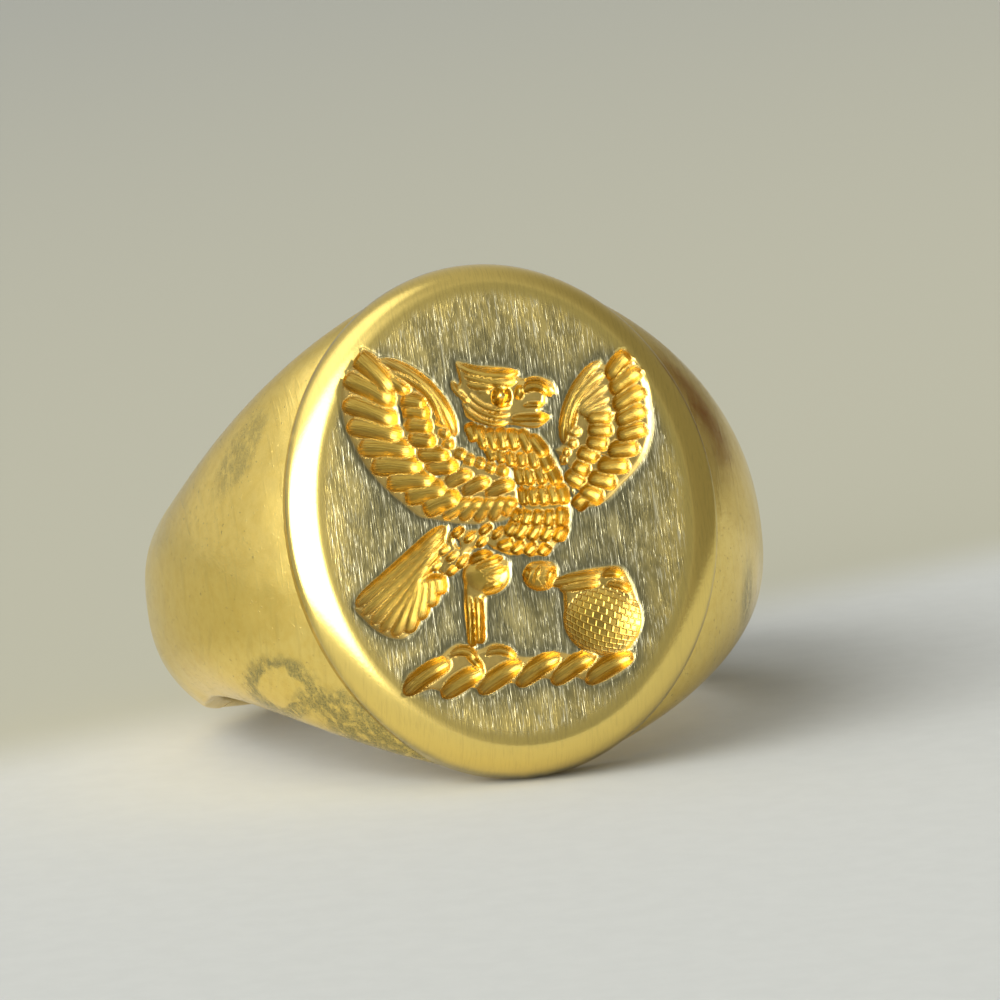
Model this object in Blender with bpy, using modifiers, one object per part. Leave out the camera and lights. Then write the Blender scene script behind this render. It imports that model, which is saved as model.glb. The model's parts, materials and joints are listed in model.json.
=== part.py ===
"""Gold signet ring, made the way a bench jeweller makes one: an engraved oval table soldered
on forged shoulders, with a sizing piece let into the back of the shank.

Units are metres and +Z is up. The ring is drawn about its finger axis, in ring axes: X is
sideways, -Y looks out of the engraved face and Z is the finger axis. An empty then lays the
ring on the surface z = 0 as it rests by itself, on the bottom of its table and the back edge
of its shank.
"""

import math

import bmesh
import bpy
import numpy as np

# Engraved table: an oval plate with a softly rounded rim.
TABLE_HEIGHT = 0.0170  # along the finger axis
TABLE_WIDTH = 0.0142
TABLE_THICKNESS = 0.0018
RIM_ROUND = 0.0009  # radius of the worn front edge
ENGRAVING_DEPTH = 0.0005

# Finger bore and shank.
BORE_RADIUS = 0.00825
BORE_EDGE_INSET = 0.00025  # the band's edges slope in to the bore by this much
BRIDGE_THICKNESS = 0.00056  # the yoke under the middle of the table
SIDE_THICKNESS = 0.0021  # middle of the band, a quarter turn from the face
SIDE_WIDTH = 0.0071
SIDE_CROWN = 0.0015  # how far the band falls from its middle to its edge
BACK_THICKNESS = 0.0016
BACK_WIDTH = 0.0050
BACK_CROWN = 0.0009
CROWN_POWER = 2.6

# Solder joints. The sizing piece covers what the shoulders leave of the turn.
SHANK_JOINT_ANGLE = math.radians(118)  # from the middle of the face
SOLDER_THICKNESS = 0.00015
JOINT_CLEARANCE = 0.00003  # between a solder seam and the metal on each side of it
SEAT_INSET = 0.00012  # the table overhangs the yoke by this much all round

# How the shoulders leave the table.
CORNER_ANGLE = math.radians(80)  # where the shoulders' edges meet the oval, from its side
SHOULDER_FULLNESS = 2.0
SHOULDER_TAPER = 1.2
QUARTER_TURN = math.pi / 2

# Mesh density.
TABLE_SIDES = 96
RIM_SEGMENTS = 5
STEPS_UNDER_TABLE = 3
STEPS_SHOULDER = 12
STEPS_SIDE = 5
STEPS_BACK = 10
STEPS_ACROSS = 16
OUTLINE_RESOLUTION = 4
LEAN_ROUNDS = 30

# Everything below follows from the sizes above.
SEAT_DISTANCE = BORE_RADIUS + BRIDGE_THICKNESS  # finger axis to the flat that the table sits on
TABLE_BACK_DISTANCE = SEAT_DISTANCE + SOLDER_THICKNESS + 2 * JOINT_CLEARANCE
FACE_DISTANCE = TABLE_BACK_DISTANCE + TABLE_THICKNESS
SEAT_WIDTH = TABLE_WIDTH - 2 * SEAT_INSET
SEAT_HEIGHT = TABLE_HEIGHT - 2 * SEAT_INSET
SIDE_RADIUS = BORE_RADIUS + SIDE_THICKNESS
BACK_RADIUS = BORE_RADIUS + BACK_THICKNESS
FIELD_HALF_WIDTH = TABLE_WIDTH / 2 - RIM_ROUND
FIELD_HALF_HEIGHT = TABLE_HEIGHT / 2 - RIM_ROUND

# The crest is a bird on a twisted wreath, with a purse in its claw. These are its main hollows:
# how deep each is, in shares of ENGRAVING_DEPTH, and its outline, in shares of the flat field's
# half-width and half-height.
CREST_OUTLINES = {
    "left_wing": (0.80, [
        (-0.68, 0.78), (-0.53, 0.72), (-0.35, 0.60), (-0.20, 0.48), (-0.18, 0.39),
        (0.05, 0.18), (0.09, 0.08), (-0.02, -0.03), (-0.30, 0.00), (-0.56, 0.14),
        (-0.72, 0.32), (-0.77, 0.48), (-0.75, 0.66)]),
    "right_wing": (0.82, [
        (0.79, 0.65), (0.84, 0.50), (0.84, 0.32), (0.70, 0.11), (0.48, -0.02), (0.33, 0.06),
        (0.32, 0.25), (0.40, 0.42), (0.50, 0.54), (0.63, 0.62)]),
    "head": (0.86, [
        (-0.15, 0.68), (0.06, 0.65), (0.22, 0.61), (0.35, 0.54), (0.33, 0.39), (0.18, 0.35),
        (-0.05, 0.37), (-0.15, 0.44), (-0.19, 0.58)]),
    "body": (1.00, [
        (-0.12, 0.37), (0.12, 0.35), (0.28, 0.22), (0.34, 0.02), (0.31, -0.13), (0.15, -0.22),
        (-0.10, -0.19), (-0.30, -0.10), (-0.24, 0.02), (-0.02, 0.18)]),
    "tail": (0.76, [
        (-0.32, -0.06), (-0.24, -0.16), (-0.26, -0.24), (-0.38, -0.28), (-0.50, -0.42),
        (-0.64, -0.49), (-0.86, -0.37), (-0.58, -0.18)]),
    "left_leg": (0.92, [
        (-0.28, -0.16), (-0.04, -0.18), (-0.04, -0.28), (-0.20, -0.36), (-0.19, -0.57),
        (-0.29, -0.57), (-0.28, -0.36), (-0.31, -0.25)]),
    "right_leg": (0.88, [
        (0.05, -0.22), (0.22, -0.23), (0.24, -0.32), (0.12, -0.35), (0.04, -0.29)]),
    "purse": (0.96, [
        (0.19, -0.31), (0.58, -0.28), (0.63, -0.46), (0.56, -0.61), (0.40, -0.65),
        (0.26, -0.58), (0.22, -0.44)]),
    "wreath": (0.84, [
        (-0.66, -0.69), (-0.58, -0.61), (-0.34, -0.54), (-0.10, -0.57), (0.05, -0.62),
        (0.54, -0.67), (0.54, -0.72), (0.33, -0.77), (-0.62, -0.73)]),
}

GOLD = (0.78, 0.56, 0.19, 1.0)
GREEN_GOLD = (0.72, 0.56, 0.23, 1.0)
SOLDER_GOLD = (0.70, 0.55, 0.28, 1.0)


def clear_scene():
    for old in list(bpy.data.objects):
        bpy.data.objects.remove(old, do_unlink=True)


def new_collection(name):
    collection = bpy.data.collections.new(name)
    bpy.context.scene.collection.children.link(collection)
    return collection


def metal(name, colour, roughness):
    """A Principled metal with one colour and one roughness."""
    material = bpy.data.materials.new(name)
    material.use_nodes = True
    shader = material.node_tree.nodes["Principled BSDF"]
    shader.inputs["Base Color"].default_value = colour
    shader.inputs["Metallic"].default_value = 1.0
    shader.inputs["Roughness"].default_value = roughness
    return material


def move_to(obj, collection):
    for owner in list(obj.users_collection):
        owner.objects.unlink(obj)
    collection.objects.link(obj)


# The band, as a grid: v runs across it from -1 to 1, and each function takes arrays.

def band_section(angle, v):
    """Middle-to-edge section of the shank between the quarter turn and the back."""
    share = (1 - np.cos(np.pi * (angle - QUARTER_TURN) / QUARTER_TURN)) / 2
    crest = SIDE_RADIUS + (BACK_RADIUS - SIDE_RADIUS) * share
    crown = SIDE_CROWN + (BACK_CROWN - SIDE_CROWN) * share
    half_width = (SIDE_WIDTH + (BACK_WIDTH - SIDE_WIDTH) * share) / 2
    return crest - crown * np.abs(v) ** CROWN_POWER, v * half_width


def oval_edge(v):
    """Where the shoulders leave the seat of the table: sideways and along the finger axis."""
    corner = v * CORNER_ANGLE
    return SEAT_WIDTH / 2 * np.cos(corner), SEAT_HEIGHT / 2 * np.sin(corner)


def seat_rows(v):
    """The flat seat, from the middle plane to the oval's edge, as (angle, radius, axial)."""
    edge_x, edge_z = oval_edge(v)
    for share in np.linspace(0, 1, STEPS_UNDER_TABLE + 1)[:-1]:
        yield np.arctan2(share * edge_x, SEAT_DISTANCE), np.hypot(share * edge_x, SEAT_DISTANCE), edge_z


def shoulder_rows(v):
    """The shoulder: the oval's edge runs into the band's section at the quarter turn."""
    edge_x, edge_z = oval_edge(v)
    edge_angle = np.arctan2(edge_x, SEAT_DISTANCE)
    edge_radius = np.hypot(edge_x, SEAT_DISTANCE)
    side_radius, side_z = band_section(QUARTER_TURN, v)
    for u in np.linspace(0, 1, STEPS_SHOULDER + 1):
        swell = (1 - u) ** 2 * (1 + SHOULDER_FULLNESS * u)
        taper = (1 - u) ** 2 * (1 + SHOULDER_TAPER * u)
        angle = edge_angle + (QUARTER_TURN - edge_angle) * u
        yield angle, side_radius + (edge_radius - side_radius) * swell, side_z + (edge_z - side_z) * taper


def shank_rows(v, start, end, steps):
    """The shank between two angles."""
    for angle in np.linspace(start, end, steps + 1):
        radius, axial = band_section(angle, v)
        yield np.full_like(v, angle), radius, axial


def joint_offset(thickness):
    """Half the angle that a gap of this thickness takes at the middle of the band."""
    return thickness / 2 / (BORE_RADIUS + SIDE_THICKNESS / 2)


def ring_points(angle, radius, axial):
    return np.stack([radius * np.sin(angle), -radius * np.cos(angle), axial], axis=-1)


def bore_points(angle, axial):
    """The points of the finger bore behind a row; its edges lie inside the band's edges."""
    inset = BORE_EDGE_INSET * axial / np.abs(axial).max()
    return ring_points(angle, np.full_like(angle, BORE_RADIUS), axial - inset)


def band_mesh(name, rows, capped_start):
    """A shell between the outer grid and the finger bore. It stays open at its first row
    where a mirror closes it, unless capped_start is set."""
    rows = list(rows)
    outer = [ring_points(*row) for row in rows]
    inner = [bore_points(angle, axial) for angle, _, axial in rows]
    mesh = bpy.data.meshes.new(name)
    grid = bmesh.new()
    skins = [[[grid.verts.new(point) for point in row] for row in skin] for skin in (outer, inner)]
    for skin in skins:
        for row, following in zip(skin, skin[1:]):
            for j in range(len(row) - 1):
                grid.faces.new([row[j], following[j], following[j + 1], row[j + 1]])
    top, under = skins
    for i in range(len(rows) - 1):
        for j in (0, -1):
            grid.faces.new([top[i][j], under[i][j], under[i + 1][j], top[i + 1][j]])
    for i in (-1, 0) if capped_start else (-1,):
        for j in range(len(top[i]) - 1):
            grid.faces.new([top[i][j], under[i][j], under[i][j + 1], top[i][j + 1]])
    bmesh.ops.recalc_face_normals(grid, faces=grid.faces)
    grid.to_mesh(mesh)
    grid.free()
    mesh.shade_smooth()
    mesh.set_sharp_from_angle(angle=math.radians(35))
    return mesh


def add_part(name, mesh, material, collection):
    obj = bpy.data.objects.new(name, mesh)
    collection.objects.link(obj)
    mesh.materials.append(material)
    return obj


def mirror_sideways(obj):
    mirror = obj.modifiers.new("mirror", "MIRROR")
    mirror.use_axis = (True, False, False)
    mirror.merge_threshold = 0.00001
    mirror.use_clip = True


def oval_plate(name, width, height, thickness, front, material, collection):
    """An oval plate whose front face lies at a distance from the finger axis."""
    bpy.ops.mesh.primitive_cylinder_add(vertices=TABLE_SIDES, radius=0.5, depth=1.0)
    plate = bpy.context.object
    plate.name = name
    plate.data.name = name
    for vertex in plate.data.vertices:
        x, y, z = vertex.co
        vertex.co = (x * width, -front + (0.5 - z) * thickness, y * height)
    plate.data.materials.append(material)
    move_to(plate, collection)
    return plate


def round_front_rim(plate):
    mesh = plate.data
    weights = mesh.attributes.new("bevel_weight_edge", "FLOAT", "EDGE")
    front = min(vertex.co.y for vertex in mesh.vertices)
    for edge in mesh.edges:
        on_front = all(abs(mesh.vertices[i].co.y - front) < 1e-6 for i in edge.vertices)
        weights.data[edge.index].value = 1.0 if on_front else 0.0
    bevel = plate.modifiers.new("worn_rim", "BEVEL")
    bevel.limit_method = "WEIGHT"
    bevel.width = min(RIM_ROUND, 0.8 * TABLE_THICKNESS)
    bevel.segments = RIM_SEGMENTS
    mesh.shade_smooth()
    mesh.set_sharp_from_angle(angle=math.radians(35))


def crest_cutter(name, depth, outline, collection):
    """One hollow of the crest as a solid that reaches into the face. The outline is drawn in
    shares of the field, and its mesh is brought to the field's size."""
    curve = bpy.data.curves.new(name, "CURVE")
    curve.dimensions = "2D"
    curve.fill_mode = "BOTH"
    curve.extrude = 1.0
    curve.resolution_u = OUTLINE_RESOLUTION
    spline = curve.splines.new("BEZIER")
    spline.bezier_points.add(len(outline) - 1)
    for point, (sideways, upward) in zip(spline.bezier_points, outline):
        point.co = (sideways, upward, 0)
        point.handle_left_type = "AUTO"
        point.handle_right_type = "AUTO"
    spline.use_cyclic_u = True
    drawn = bpy.data.objects.new(name + "_outline", curve)
    collection.objects.link(drawn)
    bpy.context.view_layer.update()
    depsgraph = bpy.context.evaluated_depsgraph_get()
    mesh = bpy.data.meshes.new_from_object(drawn.evaluated_get(depsgraph))
    welded = bmesh.new()
    welded.from_mesh(mesh)
    bmesh.ops.remove_doubles(welded, verts=welded.verts, dist=0.0001)
    bmesh.ops.scale(welded, verts=welded.verts, vec=(FIELD_HALF_WIDTH, FIELD_HALF_HEIGHT, depth))
    bmesh.ops.recalc_face_normals(welded, faces=welded.faces)
    welded.to_mesh(mesh)
    welded.free()
    cutter = bpy.data.objects.new(name, mesh)
    cutter.location = (0, -FACE_DISTANCE, 0)
    cutter.rotation_euler = (QUARTER_TURN, 0, 0)
    cutter.hide_render = True
    cutter.display_type = "WIRE"
    collection.objects.link(cutter)
    bpy.data.objects.remove(drawn, do_unlink=True)
    return cutter


def engrave(plate, cutters):
    for cutter in cutters:
        cut = plate.modifiers.new(cutter.name, "BOOLEAN")
        cut.operation = "DIFFERENCE"
        cut.solver = "EXACT"
        cut.object = cutter


def evaluated_points(objects):
    """World positions of the objects' evaluated vertices, as one array."""
    bpy.context.view_layer.update()
    depsgraph = bpy.context.evaluated_depsgraph_get()
    points = []
    for obj in objects:
        shape = obj.evaluated_get(depsgraph)
        points += [shape.matrix_world @ vertex.co for vertex in shape.data.vertices]
    return np.array(points)


def resting_lean(points):
    """The angle that lays the lowest point of the ring's front half and of its back half on
    one level, found by turning a little nearer to it each time."""
    halves = points[points[:, 1] < 0], points[points[:, 1] > 0]
    lean = 0.0
    for _ in range(LEAN_ROUNDS):
        lowest = []
        for half in halves:
            heights = half[:, 2] * math.cos(lean) - half[:, 1] * math.sin(lean)
            lowest.append(half[np.argmin(heights)])
        front, back = lowest
        lean = math.atan2(back[2] - front[2], back[1] - front[1])
    return lean


def main():
    clear_scene()
    ring = new_collection("signet_ring")
    cutters = new_collection("cutters")
    across = np.linspace(-1, 1, STEPS_ACROSS + 1)
    seam = joint_offset(SOLDER_THICKNESS)
    metal_end = joint_offset(SOLDER_THICKNESS + 2 * JOINT_CLEARANCE)

    table = oval_plate("signet_table", TABLE_WIDTH, TABLE_HEIGHT, TABLE_THICKNESS, FACE_DISTANCE,
                       metal("brushed_gold", GREEN_GOLD, 0.38), ring)
    round_front_rim(table)
    engrave(table, [crest_cutter(name, share * ENGRAVING_DEPTH, outline, cutters)
                    for name, (share, outline) in CREST_OUTLINES.items()])

    table_seam = oval_plate("table_solder", SEAT_WIDTH, SEAT_HEIGHT, SOLDER_THICKNESS,
                            SEAT_DISTANCE + JOINT_CLEARANCE + SOLDER_THICKNESS,
                            metal("table_solder_gold", SOLDER_GOLD, 0.4), ring)

    yoke_rows = [*seat_rows(across), *shoulder_rows(across)]
    yoke_rows += list(shank_rows(across, QUARTER_TURN, SHANK_JOINT_ANGLE - metal_end, STEPS_SIDE))[1:]
    shoulders = add_part("shoulders", band_mesh("shoulders", yoke_rows, capped_start=False),
                         metal("polished_gold", GOLD, 0.22), ring)
    mirror_sideways(shoulders)

    back_rows = list(shank_rows(across, SHANK_JOINT_ANGLE + metal_end, math.pi, STEPS_BACK))[::-1]
    back = add_part("back_shank", band_mesh("back_shank", back_rows, capped_start=False),
                    metal("shank_gold", GOLD, 0.25), ring)
    mirror_sideways(back)

    solder = metal("shank_solder_gold", SOLDER_GOLD, 0.35)
    seams = []
    for name, side in (("left_shank_solder", -1), ("right_shank_solder", 1)):
        rows = shank_rows(across, SHANK_JOINT_ANGLE - seam, SHANK_JOINT_ANGLE + seam, 1)
        rows = [(side * angle, radius, axial) for angle, radius, axial in rows]
        seams.append(add_part(name, band_mesh(name, rows, capped_start=True), solder, ring))

    parts = [table, table_seam, shoulders, back, *seams]
    frame = bpy.data.objects.new("finger_axis", None)
    ring.objects.link(frame)
    lean = resting_lean(evaluated_points(parts))
    for piece in [*parts, *cutters.objects]:
        piece.parent = frame
    frame.rotation_euler = (-lean, 0, 0)
    points = evaluated_points(parts)
    low, high = points.min(axis=0), points.max(axis=0)
    frame.location = (-(low[0] + high[0]) / 2, -(low[1] + high[1]) / 2, -low[2])
    bpy.context.view_layer.update()


main()
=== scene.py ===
import json
import math

import bpy
import numpy as np
from mathutils import Matrix, Vector


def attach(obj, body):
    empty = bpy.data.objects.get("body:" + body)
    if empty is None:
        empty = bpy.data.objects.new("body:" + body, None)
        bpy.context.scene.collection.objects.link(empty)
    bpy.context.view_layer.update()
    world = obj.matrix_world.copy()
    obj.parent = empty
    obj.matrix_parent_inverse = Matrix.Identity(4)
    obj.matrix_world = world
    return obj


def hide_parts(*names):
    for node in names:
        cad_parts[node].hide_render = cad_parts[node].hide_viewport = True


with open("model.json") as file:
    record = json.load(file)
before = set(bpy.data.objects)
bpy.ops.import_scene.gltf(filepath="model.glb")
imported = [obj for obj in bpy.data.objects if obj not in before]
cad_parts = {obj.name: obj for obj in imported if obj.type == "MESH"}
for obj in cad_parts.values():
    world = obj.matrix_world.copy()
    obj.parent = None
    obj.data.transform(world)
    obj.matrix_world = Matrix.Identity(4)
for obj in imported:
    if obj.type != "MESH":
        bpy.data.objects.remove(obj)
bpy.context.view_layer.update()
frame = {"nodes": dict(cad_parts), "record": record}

bl_info = {
    "name": "Engraved Signet Ring",
    "version": (1, 0, 0),
    "blender": (4, 5, 0),
    "location": "View3D > Sidebar > Signet Ring",
    "description": "Worn gold signet ring with a deep engraved bird crest, on a plain studio floor",
    "category": "Add Mesh",
}

MM = 0.001
QUARTER_TURN = math.pi / 2
OTHER_SIDE = np.array([-1.0, 1.0, 1.0])     # mirrors ring places from the right to the left


# ---------------------------------------------------------------------------------------------
# How the ring lies

def node_points(name):
    """World points of a CAD node as an (n, 3) array."""
    mesh = frame["nodes"][name].data
    points = np.zeros(len(mesh.vertices) * 3)
    mesh.vertices.foreach_get("co", points)
    return points.reshape(-1, 3)


def ring_axes(back_radius):
    """Sideways, face and finger axes as rows, and the middle of the finger axis.

    The face axis is the seal's; the back of the shank lies back_radius behind the middle, and
    the shank is as wide above the middle as below it."""
    face = np.array(frame["record"]["mounts"][0]["axis"], float)
    face /= np.linalg.norm(face)
    sideways = np.array([1.0, 0.0, 0.0])
    finger = np.cross(face, sideways)
    finger *= np.sign(finger[2])
    shank = node_points("back_shank")
    forward, upward = shank @ face, shank @ finger
    middle = face * (forward.min() + back_radius) + finger * (upward.max() + upward.min()) / 2
    return np.array([sideways, face, finger]), middle


def to_world(points, ring):
    """Ring places (sideways, towards the face, along the finger) in metres to world places."""
    axes, middle = ring_axes(ring.bore_radius + ring.back_thickness)
    return points @ axes + middle


# ---------------------------------------------------------------------------------------------
# Curves and grids

def smooth_curve(points, count, closed=False):
    """count points evenly spread in parameter along the Catmull-Rom curve through points: each
    stretch is the cubic whose slope at a point is half the way between its neighbours."""
    points = np.asarray(points, float)
    if closed:
        padded = np.vstack([points[-1:], points, points[:2]])
        t = np.linspace(0, len(points), count, endpoint=False)
        start = t.astype(int)
    else:
        padded = np.vstack([2 * points[0] - points[1], points, 2 * points[-1] - points[-2]])
        t = np.linspace(0, len(points) - 1, count)
        start = np.minimum(t.astype(int), len(points) - 2)
    f = (t - start)[:, None]
    a, b, c, d = (padded[start + k] for k in range(4))
    return b + 0.5 * f * (c - a + f * (2 * a - 5 * b + 4 * c - d + f * (3 * (b - c) + d - a)))


def grid_quads(rows, columns, closed):
    """Corner numbers of the quads between neighbouring rows of a grid numbered row by row."""
    row = np.arange(rows - 1)[:, None] * columns
    column = np.arange(columns if closed else columns - 1)[None]
    following = (column + 1) % columns
    return np.stack([row + column, row + following, row + columns + following,
                     row + columns + column], axis=-1).reshape(-1, 4)


def outward(points, faces):
    """The faces, turned round if the volume they hold comes out negative: the sum over fan
    triangles of a . (b x c)."""
    volume = 0.0
    for face_set in faces:
        corners = points[face_set]
        first, rest = corners[:, :1], corners[:, 1:]
        volume += np.sum(first * np.cross(rest[:, :-1], rest[:, 1:]))
    return [face_set if volume > 0 else face_set[:, ::-1] for face_set in faces]


def add_piece(name, points, faces, material, replaced, sharp=35.0):
    """A closed piece of the ring from world points and arrays of equal-sided faces. It stands
    for the CAD nodes in replaced."""
    mesh = bpy.data.meshes.new(name)
    turned = outward(points, faces)
    mesh.from_pydata(points.tolist(), [], [face for part in turned for face in part.tolist()])
    mesh.materials.append(material)
    mesh.shade_smooth()
    mesh.set_sharp_from_angle(angle=math.radians(sharp))
    piece = bpy.data.objects.new(name, mesh)
    bpy.context.scene.collection.objects.link(piece)
    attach(piece, "root")
    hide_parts(*replaced)
    return piece


def add_attribute(piece, name, values):
    """A number at each vertex, for the piece's material."""
    layer = piece.data.attributes.new(name, "FLOAT", "POINT")
    layer.data.foreach_set("value", np.ascontiguousarray(values, np.float32))


# ---------------------------------------------------------------------------------------------
# The crest. Places are millimetres on the face: first sideways, then up along the finger axis.

# Fans of gouge cuts: the curve of their tips, the curve of their roots, how many, half the width
# of a cut, its depth as a share of the full depth, its bow, its bluntness, and its hairlines.
LEFT_WING = (
    ([(-4.30, 5.75), (-4.72, 5.00), (-4.85, 4.15), (-4.82, 3.40), (-4.55, 2.62), (-4.22, 1.95),
      (-3.78, 1.36), (-3.25, 0.80), (-2.70, 0.33)],
     [(-3.12, 4.22), (-3.12, 3.92), (-3.14, 3.28), (-3.02, 2.76), (-2.68, 2.30), (-2.48, 1.74),
      (-2.12, 1.24), (-1.72, 0.92), (-1.36, 0.66)], 9, 0.41, 0.98, 0.10, 4.4, 3.0),
    ([(-3.88, 5.30), (-3.45, 4.95)], [(-3.02, 4.36), (-2.60, 4.20)], 2, 0.25, 0.80, 0.06, 4.0, 2.0),
    ([(-2.10, 0.02), (-1.55, -0.10), (-1.05, -0.20), (-0.55, -0.22), (-0.08, -0.12)],
     [(-0.95, 0.52), (-0.62, 0.50), (-0.25, 0.52), (0.08, 0.50), (0.36, 0.46)],
     5, 0.26, 0.78, 0.06, 3.5, 3.0),
    ([(-1.92, 1.02), (-1.36, 0.72), (-0.62, 0.58)], [(-0.88, 1.40), (-0.32, 1.10), (0.44, 0.92)],
     3, 0.27, 0.74, 0.09, 3.5, 3.0),
    ([(-2.95, 4.02), (-2.94, 3.68), (-2.92, 3.20), (-2.90, 2.74), (-2.66, 2.18), (-2.45, 1.70)],
     [(-2.08, 3.80), (-2.00, 3.48), (-1.98, 3.04), (-1.94, 2.52), (-1.56, 2.02), (-1.32, 1.68)],
     6, 0.31, 0.90, 0.05, 4.2, 3.0),
    ([(-1.92, 3.24), (-1.88, 2.86), (-1.82, 2.46), (-1.46, 2.14), (-1.18, 1.92), (-0.84, 1.78),
      (-0.50, 1.62), (-0.18, 1.42)],
     [(-1.46, 3.12), (-1.42, 2.74), (-1.36, 2.38), (-1.02, 1.96), (-0.76, 1.76), (-0.44, 1.60),
      (-0.12, 1.40), (0.30, 1.30)], 8, 0.21, 0.62, 0.02, 2.6, 2.0),
    ([(-3.48, 5.46), (-3.30, 5.02)], [(-1.28, 2.66), (-1.62, 3.02)], 2, 0.23, 0.72, 0.50, 6.0, 2.0),
)
RIGHT_WING = (
    ([(4.86, 4.88), (5.12, 4.26), (5.18, 3.60), (5.14, 2.96), (5.08, 2.30), (4.74, 1.66),
      (4.34, 1.08), (3.80, 0.54), (3.26, 0.04), (2.68, -0.14)],
     [(4.00, 3.98), (4.00, 3.56), (4.02, 3.04), (4.04, 2.56), (4.00, 2.08), (3.62, 1.62),
      (3.20, 1.18), (2.86, 0.86), (2.56, 0.54), (2.32, 0.28)], 10, 0.33, 0.98, -0.06, 4.2, 3.0),
    ([(4.00, 4.36), (4.02, 3.86), (4.00, 3.42), (3.98, 3.06)],
     [(2.62, 3.10), (2.72, 3.02), (2.84, 2.94), (2.96, 2.88)], 4, 0.19, 0.60, -0.06, 4.0, 2.0),
    ([(3.98, 2.76), (3.96, 2.32), (3.74, 1.84), (3.34, 1.44), (2.96, 0.98), (2.76, 0.56)],
     [(3.08, 2.82), (3.06, 2.42), (2.96, 2.04), (2.62, 1.76), (2.42, 1.36), (2.14, 1.10)],
     6, 0.29, 0.92, -0.03, 3.8, 3.0),
    ([(2.92, 2.42), (2.74, 2.00), (2.44, 1.70), (2.28, 1.50)],
     [(2.42, 2.40), (2.34, 2.06), (2.14, 1.82), (2.00, 1.56)], 4, 0.21, 0.62, 0.0, 2.4, 2.0),
    ([(3.78, 4.66), (3.92, 4.30)], [(2.20, 2.02), (2.44, 2.30)], 2, 0.22, 0.76, -0.34, 6.0, 2.0),
)
HEAD = (
    ([(-0.92, 4.98)], [(1.05, 4.52)], 1, 0.20, 0.80, -0.16, 5.0, 2.0),
    ([(-0.86, 4.72)], [(1.02, 4.26)], 1, 0.24, 0.84, -0.10, 4.0, 3.0),
    ([(-0.76, 4.40)], [(0.30, 4.22)], 1, 0.20, 0.80, -0.05, 4.0, 2.0),
    ([(-1.18, 4.46), (-0.98, 4.34)], [(-0.72, 3.84), (-0.60, 3.66)], 2, 0.14, 0.60, -0.08, 3.0, 1.0),
    ([(-0.74, 4.20), (-0.86, 4.00), (-0.96, 3.78)], [(0.74, 3.44), (0.72, 3.20), (0.60, 2.94)],
     3, 0.14, 0.72, -0.30, 3.4, 2.0),
    ([(-0.56, 4.34), (-0.50, 4.10)], [(0.20, 4.20), (0.14, 3.98)], 2, 0.14, 0.62, 0.0, 3.0, 1.0),
    ([(0.00, 3.98)], [(0.76, 3.58)], 1, 0.11, 0.84, -0.22, 3.4, 1.0),
    ([(1.00, 3.86)], [(2.06, 3.72)], 1, 0.25, 0.86, 0.30, 5.0, 2.0),
    ([(0.92, 3.60)], [(1.10, 4.20)], 1, 0.20, 0.84, 0.0, 2.6, 1.0),
    ([(1.02, 3.44)], [(1.74, 3.42)], 1, 0.11, 0.74, 0.02, 5.0, 1.0),
    ([(0.56, 3.06)], [(1.84, 2.96)], 1, 0.17, 0.86, 0.02, 6.0, 2.0),
)
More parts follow.
